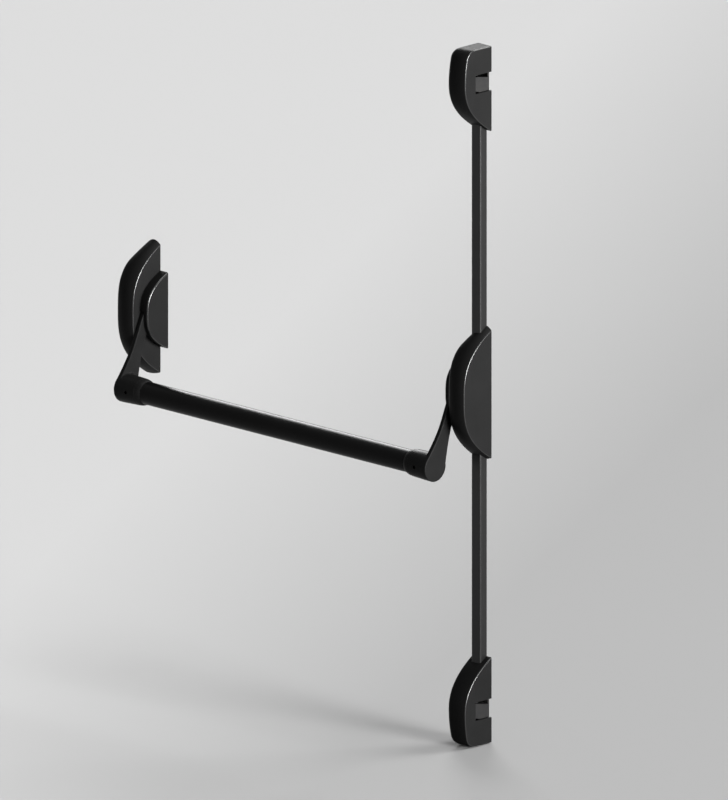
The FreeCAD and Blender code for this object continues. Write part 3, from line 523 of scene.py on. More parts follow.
def guideNylon():
    # Natural nylon, a little yellowed, with a soft moulded skin.
    look = nylonLook
    finish = Finish("guideNylon", look)
    finish.feed("Base Color", finish.blend(finish.texture("age"), look["clean"], look["aged"]))
    finish.feed("Roughness", finish.uneven())
    finish.emboss("skin")
    return finish.material


rubberLook = {
    "deep": 0.012, "dusty": 0.045, "warm": 0.05, "specular": 0.3,
    "dust": (130, 5), "dustBand": (0.45, 0.75), "rough": 0.72, "spread": 0.12, "fine": (500, 2),
    "grain": 1700, "grainPress": (0.0001, 0.3),
}


def bufferRubber():
    # Black rubber with a bloom of dust in its fine grain.
    look = rubberLook
    finish = Finish("bufferRubber", look, Specular_IOR_Level=look["specular"])
    finish.feed("Base Color", finish.blend(finish.texture("dust"), grey(look["deep"]),
                                           grey(look["dusty"], look["warm"])))
    finish.feed("Roughness", finish.uneven())
    finish.emboss("grain")
    return finish.material


finishes = {
    "cover_plastic": coverPlastic(), "arm_paint": armPaint(), "tube_paint": tubePaint(),
    "cover_channel": coverChannel(), "zinc_steel": zincSteel(), "dark_steel": darkSteel(),
    "spring_steel": springSteel(), "bush_bronze": bushBronze(), "guide_nylon": guideNylon(),
    "buffer_rubber": bufferRubber(),
}
for node in frame["nodes"].values():
    for materialSlot in node.material_slots:
        materialSlot.material = finishes[materialSlot.material.name]
print("stage: finishes on every CAD node")


# Rounded D shapes, seen from the side. Curves run from the lower end round the front to the upper
# end, as arrays of (out, z). They go on a little behind the door face, where doorSide trims them.

def awayFrom(growth):
    # The unit normals of steps along a curve, which point away from the case.
    step = growth / np.linalg.norm(growth, axis=1, keepdims=True)
    return np.stack([step[:, 1], -step[:, 0]], axis=1)


def onSide(curve, x):
    # Puts an (out, z) curve in space at x, which may be one number for every point.
    return np.stack([np.broadcast_to(x, curve.shape[:-1]), -curve[..., 0], curve[..., 1]], axis=-1)


sideRings = np.array([0.985, 0.72, 0.45, 0.2, 0.0])     # a side face's rings, from its rim inwards


def bandSolid(band, x, wear):
    # A closed solid from a band of points across a case: band holds (out, z), x the place across.
    # Both side faces shrink to a point on the door face, and the last row joins the first behind
    # the door.
    x = np.broadcast_to(x, band.shape[:-1])
    rings = sideRings[None, :, None]
    whole = np.concatenate([(band[:, :1] * rings)[:, ::-1], band, band[:, -1:] * rings], axis=1)
    ends = [np.repeat(side, len(sideRings), axis=1) for side in (x[:, :1], x[:, -1:])]
    still = np.zeros(len(sideRings))
    form = Form()
    form.addGrid(onSide(whole, np.concatenate([ends[0], x, ends[1]], axis=1)),
                 np.broadcast_to(np.concatenate([still, wear, still]), whole.shape[:2]), loop=True)
    return form


def acrossCase(curves, x, halfWidth):
    # The parabola across a case, at x, through its right, middle and left curve.
    share = x / halfWidth
    weights = (share * (share + 1) / 2, 1 - share ** 2, share * (share - 1) / 2)
    return sum(weight[..., None] * curve[:, None] for weight, curve in zip(weights, curves))


def edgeAcross(curves, halfWidth, side, radius, steps):
    # The rounded edge between the front and a flat side. The front falls towards the side at some
    # slope, and an arc of the radius turns from that slope into the side. Where the arc starts and
    # the slope there depend on each other, so both are found in a few rounds.
    step, rounds = 0.1 * mm, 12
    slope = np.zeros(len(curves[0]))
    growth = [np.gradient(curve, axis=0) for curve in curves]
    for _ in range(rounds):
        start = side * (halfWidth - radius * (1 - np.sin(slope)))
        here = acrossCase(curves, start[:, None], halfWidth)[:, 0]
        further = acrossCase(curves, start[:, None] + side * step, halfWidth)[:, 0]
        normal = awayFrom(acrossCase(growth, start[:, None], halfWidth)[:, 0])
        slope = np.arctan(np.sum((here - further) * normal, axis=1) / step)
    turn = slope[:, None] + (np.pi / 2 - slope[:, None]) * np.linspace(0, 1, steps)
    arc = np.broadcast_to(radius, len(start))[:, None]
    x = start[:, None] + side * arc * (np.sin(turn) - np.sin(slope[:, None]))
    drop = arc * (np.cos(slope[:, None]) - np.cos(turn))
    return start, x, here[:, None] - drop[..., None] * normal[:, None]


def crownedSolid(curves, halfWidth, leftEdge, rightEdge, frontSteps=25, steps=10, softWearAndSheen=0.1):
    # A case: the soft left edge, the crowned front and the crisp right edge, between flat sides.
    leftStart, leftX, leftBand = edgeAcross(curves, halfWidth, -1, leftEdge, steps)
    rightStart, rightX, rightBand = edgeAcross(curves, halfWidth, 1, rightEdge, steps)
    share = np.linspace(0, 1, frontSteps)[None, 1:-1]
    frontX = rightStart[:, None] * share + leftStart[:, None] * (1 - share)
    x = np.concatenate([leftX[:, ::-1], frontX, rightX], axis=1)
    band = np.concatenate([leftBand[:, ::-1], acrossCase(curves, frontX, halfWidth), rightBand],
                          axis=1)
    # The crisp right edge carries the full wear mark and the soft left edge only softWearAndSheen
    # of it, so the paler edge colour is mostly a painted highlight along the right edge.
    bump = np.sin(np.linspace(0, np.pi, steps))
    return bandSolid(band, x, np.concatenate([softWearAndSheen * bump, np.zeros(frontSteps - 2), bump]))


def doorSide():
    # Everything behind the door face, further than the object reaches.
    far, deep = 1.0, 50 * mm
    return slab(-far, far, -deep, 0.0, -far, far)


def turnedIn(depth, rise, drop, powers, share):
    # out = depth (1 - |share|^power) and z = share times the rise, or the drop below the middle:
    # level in the middle, pointed at the ends, and straight on behind the door.
    power = np.where(share > 0, powers[0], powers[1])
    size = np.abs(share)
    fall = np.where(size > 1, 1 + power * (size - 1), np.minimum(size, 1) ** power)
    return np.stack([depth * (1 - fall), np.where(share > 0, rise, drop) * share], axis=1)


def moveForm(form, x=0.0, z=0.0, mirrorX=False, mirrorZ=False):
    # Mirrors a form about x = 0 or z = 0, then shifts it.
    sign = np.array([-1.0 if mirrorX else 1.0, 1.0, -1.0 if mirrorZ else 1.0])
    form.points = [points * sign + np.array([x, 0.0, z]) for points in form.points]
    return form


sinkShape = {"head": 3 * mm, "shank": 1.5 * mm, "deep": 1.5 * mm, "through": 6 * mm}


def screwSink(faceX, out, z, inwards):
    # A countersunk hole in a side face: shank, cone and mouth in one turned profile.
    head, shank = sinkShape["head"] + fitGap, sinkShape["shank"] + fitGap
    deep, through = sinkShape["deep"], sinkShape["through"]
    profile = [(-1 * mm, 0), (-1 * mm, head), (fitGap, head), (deep, shank), (through, shank),
               (through, 0)]
    form = Form()
    form.addGrid(turned(profile, (faceX, -out, z), (inwards, 0, 0), 40), loop=True)
    return form


# Case covers: the same moulding at both cases, with its holes on the bar's side. Its three curves
# have a depth, a rise, a drop and the two powers of turnedIn.
caseShape = {
    "right": (50 * mm, 85 * mm, 85 * mm, (3.0, 2.8)),
    "middle": (52 * mm, 89 * mm, 89 * mm, (3.0, 2.8)),
    "left": (46 * mm, 70 * mm, 88 * mm, (6.0, 2.8)),
    "beyond": 1.05, "wall": 2.5 * mm,
    "leftEdge": 10 * mm, "rightEdge": 1.5 * mm, "insideEdge": 0.3 * mm,
    "shaftHole": 7 * mm, "screwOut": 12 * mm, "screwZ": (38 * mm, -20 * mm),
    "pegRadius": 2 * mm, "pegOut": 6 * mm, "pegZ": (36 * mm, -36 * mm),
    "holeSpan": (-4 * mm, 1 * mm), "rodGap": 0.3 * mm, "rodReach": 100 * mm,
}
caseLow, caseHigh = boxOf("pivot_cover")
caseHalf = (caseHigh[0] - caseLow[0]) / 2
rodLow, rodHigh = boxOf("upper_rod_cover")
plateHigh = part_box("main_back_plate")[1].z
bothSides = (("pivot", pivotCaseX, False), ("main", 0.0, True))


def caseCurve(depth, rise, drop, powers, count=121):
    # turnedIn at even shares, with both ends a little behind the door face.
    share = np.linspace(-caseShape["beyond"], caseShape["beyond"], count)
    return turnedIn(depth, rise, drop, powers, share)


def caseSolid(inset, leftEdge, rightEdge):
    # A case, or its inside: the three curves are drawn in by the inset.
    curves = []
    for side in ("right", "middle", "left"):
        depth, rise, drop, powers = caseShape[side]
        curves.append(caseCurve(depth - inset, rise - inset, drop - inset, powers))
    return crownedSolid(curves, caseHalf - inset, leftEdge, rightEdge)


def caseCover(mirrored, rodOpenings):
    # The outer solid, and what is cut from it: the inner solid, the holes and the rod openings.
    shape = caseShape
    form = caseSolid(0.0, shape["leftEdge"], shape["rightEdge"])
    holes = [pin(shape["shaftHole"], *shape["holeSpan"], (caseHalf, -pivotOut, pivotZ), alongX,
                 64)]
    for z in shape["screwZ"]:
        holes.append(screwSink(caseHalf, shape["screwOut"], z, -1))
    for z in shape["pegZ"]:
        holes.append(pin(shape["pegRadius"], *shape["holeSpan"],
                         (caseHalf, -shape["pegOut"], z), alongX, 24))
    cutters = [caseSolid(shape["wall"], shape["leftEdge"] - shape["wall"], shape["insideEdge"])]
    cutters += [moveForm(hole, mirrorX=mirrored) for hole in holes]
    if rodOpenings:
        half = rodHigh[0] + shape["rodGap"]
        deep = -rodLow[1] + shape["rodGap"]
        far = shape["rodReach"]
        for z0, z1 in ((plateHigh, far), (-far, -plateHigh)):
            cutters.append(slab(-half, half, -1 * mm, deep, z0, z1))
    return form, cutters


for name, x, mirrored in bothSides:
    form, cutters = caseCover(mirrored, name == "main")
    piece = moveForm(form, x).toObject(name + "CaseCover")
    carve(piece, [doorSide()] + [moveForm(cutter, x) for cutter in cutters])
    place(piece, "frame", "cover_plastic", name + "_cover")
    print("stage:", piece.name, len(piece.data.vertices), "points")


# Inner covers over the arm heads, a D with a flat face and a rounded rim
innerShape = {
    "wall": 2 * mm, "edge": 2 * mm, "insideEdge": 0.3 * mm, "slotTop": 4 * mm,
    "slotBackOut": 12 * mm, "slotSlope": 5 * mm, "slotWidth": 7.2 * mm, "slotLow": -60 * mm,
    "pegRadius": 1.95 * mm, "pegFoot": 2.5 * mm,
}


def rimSolid(curve, x0, x1, radius, steps=9):
    # From x0 straight out along X and round the rim at x1 in a quarter circle.
    turn = np.linspace(0, np.pi / 2, steps)
    x = np.concatenate([[x0, (x0 + x1 - radius) / 2], x1 - radius + radius * np.sin(turn)])
    drop = np.concatenate([[0, 0], radius - radius * np.cos(turn)])
    band = curve[:, None] - drop[None, :, None] * awayFrom(np.gradient(curve, axis=0))[:, None]
    # The rim's rounding carries the wear mark: rubbed plastic, and partly a painted highlight in
    # its paler colour.
    return bandSolid(band, x[None], np.concatenate([[0, 0], np.sin(turn * 2)]))


def innerCover():
    # The outer solid, its hollow, the arm's slot and the pegs that plug into the case cover.
    shape, wall = innerShape, innerShape["wall"]
    boxLow, boxHigh = boxOf("pivot_inner_cover")
    depth, halfHeight, face = -boxLow[1], boxHigh[2], caseHalf
    end = boxHigh[0] - pivotCaseX
    powers = caseShape["right"][3]
    curve = caseCurve(depth, halfHeight, halfHeight, powers)
    form = rimSolid(curve, face, end, shape["edge"])
    curve = caseCurve(depth - wall, halfHeight - wall, halfHeight - wall, powers)
    hollow = rimSolid(curve, face - 1 * mm, end - wall, shape["insideEdge"])
    back, low, top = shape["slotBackOut"], shape["slotLow"], shape["slotTop"]
    inside, high = depth - wall - 1 * mm, top + shape["slotSlope"]
    slot = prism([(back, low), (depth + 1 * mm, low), (depth + 1 * mm, top), (depth, top),
                  (inside, high), (back, high)], face - 1 * mm, face + shape["slotWidth"])
    pegs = Form()
    foot, radius, pegEnd = -shape["pegFoot"], shape["pegRadius"], end - face - wall / 2
    for z in caseShape["pegZ"]:
        pegs.addGrid(turned([(foot, 0), (foot, radius), (pegEnd, radius), (pegEnd, 0)],
                            (face, -caseShape["pegOut"], z), alongX, 24), loop=True)
    return form, [hollow, slot], pegs


def joined(name, pieces):
    # Several meshes made one, as one node holds them.
    shape = bmesh.new()
    for piece in pieces:
        shape.from_mesh(piece.data)
    mesh = bpy.data.meshes.new(name)
    shape.to_mesh(mesh)
    shape.free()
    for piece in pieces:
        bpy.data.objects.remove(piece)
    whole = bpy.data.objects.new(name, mesh)
    bpy.context.scene.collection.objects.link(whole)
    return whole


for name, x, mirrored in bothSides:
    form, cutters, pegs = innerCover()
    piece = moveForm(form, x, mirrorX=mirrored).toObject(name + "InnerShell")
    carve(piece, [doorSide()] + [moveForm(cutter, x, mirrorX=mirrored) for cutter in cutters])
    pegPiece = moveForm(pegs, x, mirrorX=mirrored).toObject(name + "InnerPegs")
    piece = joined(name + "InnerCover", [piece, pegPiece])
    place(piece, "frame", "cover_plastic", name + "_inner_cover")
print("stage: inner covers")


# Arms: a flat hub and neck, a round lobe, and the boss that takes the tube. A turn of 0 degrees is
# straight out from the door, 90 is straight up.
armShape = {
    "thick": 6 * mm, "hub": 9 * mm, "bossEnd": 17.8 * mm,
    "socketFloor": 1.5 * mm, "outerEdge": 1 * mm, "innerEdge": 0.8 * mm, "bossEdge": 1 * mm,
    "root": 5 * mm, "neckFront": (57.7 * mm, -44.6 * mm), "neckBack": (41.1 * mm, -52.9 * mm),
    "hubFrontTurn": -17.5, "hubBackTurn": 199.9, "lobeFrontTurn": 47.1, "lobeBackTurn": 171.95,
    "frontShare": 0.45, "frontDip": 2 * mm, "faceInset": 0.4 * mm, "fadePoints": 24,
    "flareLimit": 60.0, "flareReach": 0.8, "flareGrowth": 1.25, "taperRings": (0.35, 0.9, 6),
    "socketEdge": 0.3 * mm,
    "square": 8.5 * mm, "screwHole": 2.5 * mm, "screwAlong": 15 * mm, "screwFrom": 10 * mm,
    "points": {"lobe": 97, "root": 49, "hub": 41, "back": 41, "front": 49,
               "outerEdge": 7, "innerEdge": 6, "flare": 9, "bossEdge": 8},
}
tubeLow, tubeHigh = boxOf("push_tube")
tubeRadius = (tubeHigh[2] - tubeLow[2]) / 2
tubeOut = -(tubeLow[1] + tubeHigh[1]) / 2
tubeZ = (tubeLow[2] + tubeHigh[2]) / 2


def circleAt(out, z, radius, degrees):
    # The centre + radius times (cos, sin) of each turn.
    turn = np.radians(degrees)
    return np.stack([out + radius * np.cos(turn), z + radius * np.sin(turn)], axis=-1)


def throughPoints(points, count):
    # A natural cubic spline through the points, by the length of the chords between them.
    points = np.array(points, float)
    knots = np.concatenate([[0], np.cumsum(np.linalg.norm(np.diff(points, axis=0), axis=1))])
    gaps = np.diff(knots)
    size = len(points)
    system, right = np.eye(size), np.zeros((size, 2))
    for i in range(1, size - 1):
        system[i, i - 1:i + 2] = gaps[i - 1], 2 * (gaps[i - 1] + gaps[i]), gaps[i]
        right[i] = 6 * ((points[i + 1] - points[i]) / gaps[i]
                        - (points[i] - points[i - 1]) / gaps[i - 1])
    bend = np.linalg.solve(system, right)
    along = np.linspace(0, knots[-1], count)
    cell = np.clip(np.searchsorted(knots, along, side="right") - 1, 0, size - 2)
    gap = gaps[cell][:, None]
    after = (along - knots[cell])[:, None]
    before = gap - after
    return ((bend[cell] * before ** 3 + bend[cell + 1] * after ** 3) / (6 * gap)
            + (points[cell] / gap - bend[cell] * gap / 6) * before
            + (points[cell + 1] / gap - bend[cell + 1] * gap / 6) * after)


def armForm(x0, bossX1, lobe):
    # The arm's plate from x0, its boss up to bossX1, and the holes to be cut from them.
    shape, points = armShape, armShape["points"]
    x1 = x0 + shape["thick"]
    hub = shape["hub"]
    # The outline runs clockwise: round the lobe, up the back, over the hub, down the front.
    lobeTurns = np.linspace(shape["lobeFrontTurn"], shape["lobeBackTurn"] - 360, points["lobe"])
    rootTurns = np.linspace(shape["lobeBackTurn"], shape["lobeFrontTurn"], points["root"])[1:-1]
    hubTurns = np.linspace(shape["hubBackTurn"], shape["hubFrontTurn"], points["hub"])
    lobeArc = circleAt(tubeOut, tubeZ, lobe, lobeTurns)
    hubArc = circleAt(pivotOut, pivotZ, hub, hubTurns)
    back = throughPoints([lobeArc[-1], shape["neckBack"], hubArc[0]], points["back"])
    share, hubFront = shape["frontShare"], np.array([pivotOut + hub, pivotZ])
    half = np.array(shape["neckFront"]) * share + hubFront * (1 - share)
    half[1] -= shape["frontDip"]
    front = throughPoints([hubArc[-1], half, shape["neckFront"], lobeArc[0]], points["front"])
    outline = np.concatenate([lobeArc, back[1:], hubArc[1:], front[1:-1]])
    step = np.roll(outline, -1, axis=0) - np.roll(outline, 1, axis=0)
    step /= np.linalg.norm(step, axis=1, keepdims=True)
    normal = np.stack([-step[:, 1], step[:, 0]], axis=1)

    # Plate: the outer face, its rounded edge, the side, and the inner face's softer edge, which
    # fades out towards the lobe because the boss goes on from there.
    turn = np.linspace(np.pi / 2, 0, points["outerEdge"])
    edge = shape["outerEdge"]
    ringX = np.concatenate([[x0], x0 + edge - edge * np.sin(turn)])
    ringDrop = np.concatenate([[edge + shape["faceInset"]], edge - edge * np.cos(turn)])
    neckCount = len(outline) - len(lobeArc)
    fromLobe = np.minimum(np.arange(neckCount) + 1, neckCount - np.arange(neckCount))
    fade = np.clip(fromLobe / shape["fadePoints"], 0, 1)
    soft = np.concatenate([np.zeros(len(lobeArc)), fade * fade * (3 - 2 * fade)])
    soft = (soft * shape["innerEdge"])[:, None]
    innerTurn = np.linspace(0, np.pi / 2, points["innerEdge"])[None]
    plateX = np.concatenate([np.broadcast_to(ringX, (len(outline), len(ringX))),
                             x1 - soft + soft * np.sin(innerTurn)], axis=1)
    plateDrop = np.concatenate([np.broadcast_to(ringDrop, (len(outline), len(ringDrop))),
                                soft - soft * np.cos(innerTurn)], axis=1)
    band = outline[:, None] - plateDrop[..., None] * normal[:, None]
    plate = onSide(band, plateX)
    # The rounded plate edges carry the wear mark: rubbed paint, and partly a painted highlight in
    # their paler colour.
    wearAndSheenRow = np.concatenate([[0], np.sin(2 * turn), np.sin(2 * innerTurn[0])])
    form = Form()
    form.addGrid(plate, np.broadcast_to(wearAndSheenRow, plate.shape[:2]), loop=True)
    form.addCap(plate[:, 0])

    # Boss: its root flares out over the neck by a hollow quarter circle, whose radius grows from
    # nothing where the neck leaves the lobe, as far as the neck is wide there.
    turns = np.concatenate([lobeTurns, rootTurns])
    fromJoint = np.minimum(np.abs(turns - shape["lobeFrontTurn"]),
                           np.abs(turns - shape["lobeBackTurn"]))
    fromJoint = np.minimum(fromJoint, shape["flareLimit"])
    fromJoint = np.where(np.arange(len(turns)) < len(lobeTurns), 0.0, fromJoint)
    room = shape["flareReach"] * lobe * (1 / np.cos(np.radians(fromJoint)) - 1)
    root = (room * shape["root"] / (room + shape["root"]))[:, None] * shape["flareGrowth"]
    flare = np.linspace(0, np.pi / 2, points["flare"])[None]
    taper = (lobe - shape["bossEnd"]) / (bossX1 - x1)
    rootX = x1 + root * (1 - np.cos(flare))
    rootR = lobe - taper * (rootX - x1) + root * (1 - np.sin(flare))
    tip = shape["bossEdge"]
    endTurn = np.linspace(0, np.pi / 2, points["bossEdge"])
    endR = shape["bossEnd"] + taper * tip
    bore, socketEdge = tubeRadius + fitGap, shape["socketEdge"]
    floor = x1 + shape["socketFloor"]
    taperX = x1 + (bossX1 - x1) * np.linspace(*shape["taperRings"])
    tailX = np.concatenate([taperX, bossX1 - tip + tip * np.sin(endTurn),
                            [bossX1, bossX1 - socketEdge, floor, floor]])
    tailR = np.concatenate([lobe - taper * (taperX - x1), endR - tip + tip * np.cos(endTurn),
                            [bore + socketEdge, bore, bore, 0]])
    everyX = np.concatenate([rootX, np.broadcast_to(tailX, (len(turns), len(tailX)))], axis=1)
    everyR = np.concatenate([rootR, np.broadcast_to(tailR, (len(turns), len(tailR)))], axis=1)
    boss = onSide(circleAt(tubeOut, tubeZ, everyR, turns[:, None]), everyX)
    # The boss's rounded end carries the wear mark, partly a painted highlight on its crescent.
    bossWearAndSheen = np.concatenate([np.zeros(flare.shape[1] + len(taperX)), np.sin(2 * endTurn),
                               np.zeros(4)])
    form.addGrid(boss, np.broadcast_to(bossWearAndSheen, everyR.shape), loop=True)

    # The flat inner face of hub and neck lies between its soft edge and the boss's flared root.
    neckEdge = plate[len(lobeArc) - 1:, -1]
    flareEdge = boss[len(lobeTurns):, 0][::-1]
    form.addCap(np.concatenate([neckEdge, plate[:1, -1], flareEdge]))

    side = shape["square"] / 2
    shaftHole = slab(x0 - 1 * mm, x1 + 1 * mm, pivotOut - side, pivotOut + side,
                     pivotZ - side, pivotZ + side)
    screwHole = pin(shape["screwHole"], shape["screwFrom"], lobe + 1 * mm,
                    (x1 + shape["screwAlong"], -tubeOut, tubeZ), (0, -1, 0))
    return form, [shaftHole, screwHole]


for name, x, mirrored in bothSides:
    low, high = boxOf(name + "_arm")
    near = -high[0] if mirrored else low[0] - x
    far = -low[0] if mirrored else high[0] - x
    form, cutters = armForm(near, far, tubeZ - low[2])
    piece = moveForm(form, x, mirrorX=mirrored).toObject(name + "Arm")
    carve(piece, [moveForm(cutter, x, mirrorX=mirrored) for cutter in cutters])
    place(piece, "bar", "arm_paint", name + "_arm")
print("stage: arms")


# Push tube and the rounded collars at the bosses
tubeShape = {"wall": 1.5 * mm, "chamfer": 0.4 * mm, "rings": 25, "around": 128}
# The collar's wear mark of 0.3 makes patches of it paler: partly wear, partly a painted highlight.
collarShape = {"length": 8 * mm, "bossEnd": 17.6 * mm, "end": 15.7 * mm, "lip": 0.4 * mm,
               "power": 0.8, "rings": 15, "wear": 0.3}


def pushTube():
    # The wall's profile, chamfered at both ends, turned round the tube's axis.
    length = tubeHigh[0] - tubeLow[0]
    outer, inner, cut = tubeRadius, tubeRadius - tubeShape["wall"], tubeShape["chamfer"]
    along = np.linspace(cut, length - cut, tubeShape["rings"])
    profile = np.concatenate([
        np.stack([along, np.full(len(along), outer)], axis=1),
        [(length, outer - cut), (length, inner + cut)],
        np.stack([along[::-1], np.full(len(along), inner)], axis=1),
        [(0, inner + cut), (0, outer - cut), (cut, outer)]])
    form = Form()
    form.addGrid(turned(profile, (tubeLow[0], -tubeOut, tubeZ), alongX,
                        tubeShape["around"]), loop=True)
    return form


piece = pushTube().toObject("pushTube")
place(piece, "bar", "tube_paint", "push_tube")


def collar(start, side):
    # From start to the given side the radius falls from the boss to the tube, t going from 0 to 1:
    # radius = end + (bossEnd - end) cos(90 t)^power, with a small lip at the tube.
    shape = collarShape
    length, end, bossEnd, lip = shape["length"], shape["end"], shape["bossEnd"], shape["lip"]
    share = np.linspace(0, 1, shape["rings"])
    fall = np.clip(np.cos(share * np.pi / 2), 0, 1) ** shape["power"]
    bore = tubeRadius + fitGap
    profile = np.concatenate([
        np.stack([share * (length - lip), end + (bossEnd - end) * fall], axis=1),
        [(length, end - lip), (length, bore), (0, bore), (0, bossEnd)]])
    form = Form()
    form.addGrid(turned(profile, (start, -tubeOut, tubeZ), (side, 0, 0)), shape["wear"],
                 loop=True)
    return form


collars = [collar(boxOf("main_arm")[0][0], -1).toObject("collarA"),
           collar(boxOf("pivot_arm")[1][0], 1).toObject("collarB")]
place(joined("tubeCollars", collars), "bar", "arm_paint", "tube_collars")
print("stage: tube and collars")


# Rod covers: a channel profile carried up the door
channelShape = {"wall": 1.2 * mm, "edge": 2 * mm, "cornerPoints": 7, "rows": 41}


def channelPath(half, depth, radius):
    # From the door up one flank, round both front corners and back: (x, out).
    turn = np.linspace(0, np.pi / 2, channelShape["cornerPoints"])
    corner = np.stack([half - radius + radius * np.cos(turn),
                       depth - radius + radius * np.sin(turn)], axis=1)
    right = np.concatenate([[(half, 0), (half, depth / 2)], corner])
    left = right[::-1] * np.array([-1, 1])
    middle = np.array([(x, depth) for x in np.linspace(0.5, -0.5, 3) * half])
    return np.concatenate([right, middle, left])


def rodCover(name):
    # The outer and the inner path, each carried up from the cover's lower to its upper end.
    low, high = boxOf(name)
    shape = channelShape
    half, depth = high[0], -low[1]
    rise = np.linspace(low[2], high[2], shape["rows"])[:, None]
    grids = []
    for wall in (0.0, shape["wall"]):
        path = channelPath(half - wall, depth - wall, shape["edge"] - wall)
        grids.append(np.stack(np.broadcast_arrays(path[:, 0], -path[:, 1], rise), axis=-1))
    # Both front corners carry the wear mark: rubbed coat, and partly a painted highlight in their
    # paler colour.
    corner = np.sin(np.linspace(0, np.pi, shape["cornerPoints"]))
    wear = np.concatenate([[0, 0], corner, [0, 0, 0], corner, [0, 0]])
    form = Form()
    form.addShell(*grids, np.broadcast_to(wear, grids[0].shape[:2]))
    return form


for name in ("upper", "lower"):
    piece = rodCover(name + "_rod_cover").toObject(name + "RodCover")
    place(piece, "frame", "cover_channel", name + "_rod_cover")
print("stage: rod covers")


# Latch covers
latchShape = {
    "crown": 2 * mm, "wall": 2.5 * mm,
    "leftEdge": (3.5 * mm, 12 * mm), "rightEdge": 1.5 * mm, "insideEdge": 0.3 * mm,
    "waist": 14 * mm, "lean": 3.3 * mm, "corner": 15 * mm,
    "power": 2.4, "beyond": 1.1, "behind": 3 * mm, "drop": 56 * mm,
    "windowDepth": 29 * mm, "windowZ": 11.1 * mm, "windowHalf": 12.4 * mm,
    "rodGap": 0.3 * mm, "screwOut": 10 * mm, "screwZ": (38 * mm, -36 * mm),
    "points": {"low": 49, "front": 15, "corner": 17, "top": 9},
}


def latchCurve(depth, top, drop, corner):
    # Below the waist the front turns in like a case's. Above it the front leans back by lean t^2,
    # turns through a round corner and runs back flat at the top. Also gives each point's share of
    # the way from the foot to the flat top.
    shape, points = latchShape, latchShape["points"]
    waist, lean = shape["waist"], shape["lean"]
    share = np.linspace(-shape["beyond"], 0, points["low"])
    powers = (shape["power"], shape["power"])
    low = turnedIn(depth, 0, drop + waist, powers, share) + np.array([0, waist])
    high = top - corner
    tilt = math.atan(2 * lean / (high - waist))
    centre = np.array([depth - lean - corner * math.cos(tilt), high])
    turnStart = high + corner * math.sin(tilt)
    rising = np.linspace(0, 1, points["front"])[1:]
    front = np.stack([depth - lean * rising ** 2, waist + (turnStart - waist) * rising], axis=1)
    turn = np.linspace(tilt, np.pi / 2, points["corner"])[1:]
    bend = centre + corner * np.stack([np.cos(turn), np.sin(turn)], axis=1)
    back = np.linspace(centre[0], -shape["behind"], points["top"])[1:]
    flat = np.stack([back, np.full(len(back), top)], axis=1)
    curve = np.concatenate([low, front, bend, flat])
    length = np.append(0, np.cumsum(np.linalg.norm(np.diff(curve, axis=0), axis=1)))
    foot = np.interp(-1, share, length[:len(share)])
    end = length[-len(flat) - 1]
    return curve, np.clip((length - foot) / (end - foot), 0, 1)


latchLow, latchHigh = boxOf("upper_latch_cover")
latchHalf = latchHigh[0]
latchDepth = -latchLow[1] - latchShape["crown"]
latchCentre = latchLow[2] + latchShape["drop"]
latchTop = latchHigh[2] - latchCentre


def latchSolid(inset, rightEdge):
    # The left edge's radius grows evenly from the foot to the flat top.
    shape = latchShape
    sizes = (latchTop - inset, shape["drop"] - inset, shape["corner"] - inset)
    side, along = latchCurve(latchDepth - inset, *sizes)
    middle = latchCurve(latchDepth - inset + shape["crown"], *sizes)[0]
    tight, soft = shape["leftEdge"]
    leftEdge = tight + (soft - tight) * along - inset
    return crownedSolid((side, middle, side), latchHalf - inset, leftEdge, rightEdge)


def latchCover():
    # The outer solid, and what is cut from it: the inner solid, window, rod opening and screws.
    shape = latchShape
    form = latchSolid(0.0, shape["rightEdge"])
    rodHalf = rodHigh[0] + shape["rodGap"]
    windowZ, windowHalf = shape["windowZ"], shape["windowHalf"]
    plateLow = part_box("upper_latch_base")[0].z - latchCentre
    cutters = [latchSolid(shape["wall"], shape["insideEdge"]),
               slab(latchHalf - 2 * shape["wall"], latchHalf + 1 * mm, -1 * mm,
                    shape["windowDepth"], windowZ - windowHalf, windowZ + windowHalf),
               slab(-rodHalf, rodHalf, -1 * mm, -rodLow[1] + shape["rodGap"],
                    -shape["drop"] - 1 * mm, plateLow)]
    for z in shape["screwZ"]:
        cutters.append(screwSink(-latchHalf, shape["screwOut"], z, 1))
    return form, cutters


for name, mirrored in (("upper", False), ("lower", True)):
    form, cutters = latchCover()
    z = -latchCentre if mirrored else latchCentre
    piece = moveForm(form, 0, z, mirrorZ=mirrored).toObject(name + "LatchCover")
    carve(piece, [doorSide()] + [moveForm(cutter, 0, z, mirrorZ=mirrored) for cutter in cutters])
    place(piece, "frame", "cover_plastic", name + "_latch_cover")
    print("stage:", piece.name, len(piece.data.vertices), "points")


# Floor, surroundings and light
studio = {
    "floorHalf": 5.0, "floorGap": 1 * mm, "rough": 0.9, "specular": 0.1,
    "pale": grey(0.475), "shade": grey(0.325), "backdrop": grey(0.60), "worldLight": 0.08,
    "slope": (0.89, 0.524), "slopeBand": (-0.80, -0.15), "cloud": (2.0, 2), "cloudShare": 0.03,
    "lightDistance": 3.0,
    "lights": {      # the side each comes from, its width in degrees and its strength
        "topLight": ((0.12, 0.05, 0.98), 28, 1.2),
        "edgeLight": ((0.24, 0.68, 0.68), 22, 1.6),
        "sideLight": ((0.99, 0.06, 0.05), 28, 15),
        "rimLight": ((-0.68, 0.55, 0.40), 24, 2.0),
    },
}


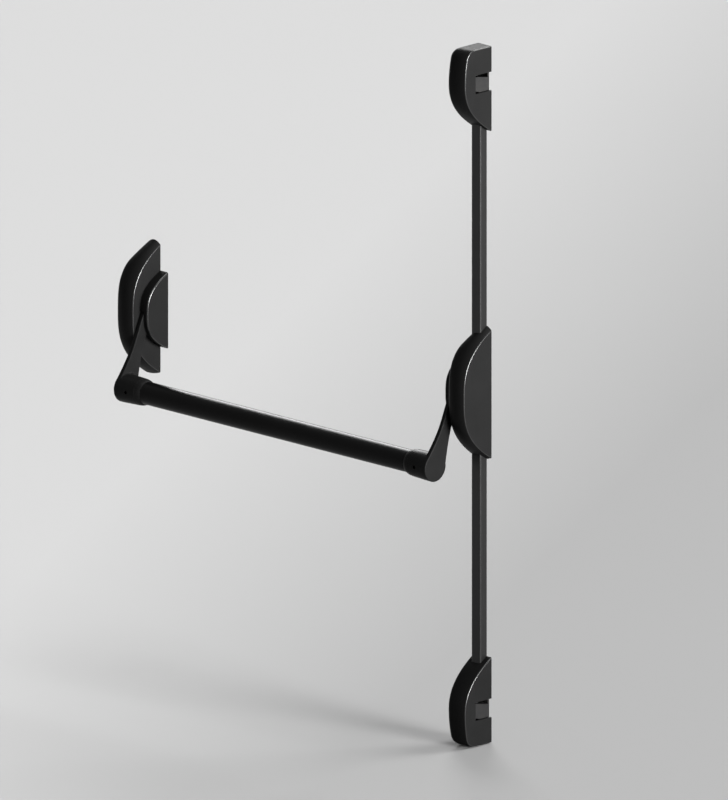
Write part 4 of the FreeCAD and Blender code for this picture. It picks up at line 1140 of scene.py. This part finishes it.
def makeFloor():
    # Pale paper, its colour painted darker from one side to the other as a painted light falloff.
    mesh = bpy.data.meshes.new("floor")
    half, z = studio["floorHalf"], cadLow.z - studio["floorGap"]
    mesh.from_pydata([(-half, -half, z), (half, -half, z), (half, half, z), (-half, half, z)], [],
                     [(0, 1, 2, 3)])
    floor = bpy.data.objects.new("floor", mesh)
    bpy.context.scene.collection.objects.link(floor)
    finish = Finish("paleFloor", studio, Roughness=studio["rough"],
                    Specular_IOR_Level=studio["specular"])
    spot = finish.add("ShaderNodeSeparateXYZ", {}, {"Vector": finish.place})
    x, y = (Wire(finish, spot.outputs[name]) for name in "XY")
    # Painted light falloff: the floor's colour runs from pale to the painted shade along this
    # slope.
    slope = finish.band(x * studio["slope"][0] + y * studio["slope"][1], *studio["slopeBand"])
    tone = slope + studio["cloudShare"] * (finish.texture("cloud") - 0.5)
    finish.feed("Base Color", finish.blend(tone, studio["pale"], studio["shade"]))
    mesh.materials.append(finish.material)


def broadLight(name, direction, angle, strength):
    # A distant light as wide as angle, in degrees.
    data = bpy.data.lights.new(name, "SUN")
    data.angle, data.energy = math.radians(angle), strength
    light = bpy.data.objects.new(name, data)
    direction = Vector(direction).normalized()
    light.location = direction * studio["lightDistance"]
    light.rotation_mode = "QUATERNION"
    light.rotation_quaternion = direction.to_track_quat("Z", "Y")
    bpy.context.scene.collection.objects.link(light)


def makeWorld():
    # A weak even light, but as pale as the paper where it is seen, mirrored or not.
    world = bpy.data.worlds.new("studioWorld")
    bpy.context.scene.world = world
    world.use_nodes = True
    sheet = Sheet(world.node_tree)
    light = sheet.tree.nodes["Background"]
    light.inputs["Color"].default_value = (1, 1, 1, 1)
    light.inputs["Strength"].default_value = studio["worldLight"]
    rays = sheet.add("ShaderNodeLightPath")
    seen = rays.outputs["Is Camera Ray"]
    for kind in ("Is Glossy Ray", "Is Transmission Ray"):
        seen = sheet.maths("MAXIMUM", seen, rays.outputs[kind])
    backdrop = sheet.add("ShaderNodeBackground", {}, {"Color": studio["backdrop"]})
    mix = sheet.add("ShaderNodeMixShader", {}, {0: seen, 1: light.outputs[0],
                                                2: backdrop.outputs[0]})
    sheet.join(mix.outputs[0], sheet.tree.nodes["World Output"].inputs["Surface"])


makeFloor()
makeWorld()
for name, settings in studio["lights"].items():
    broadLight(name, *settings)
bpy.context.scene.view_settings.view_transform = "Standard"
print("stage: floor and light")
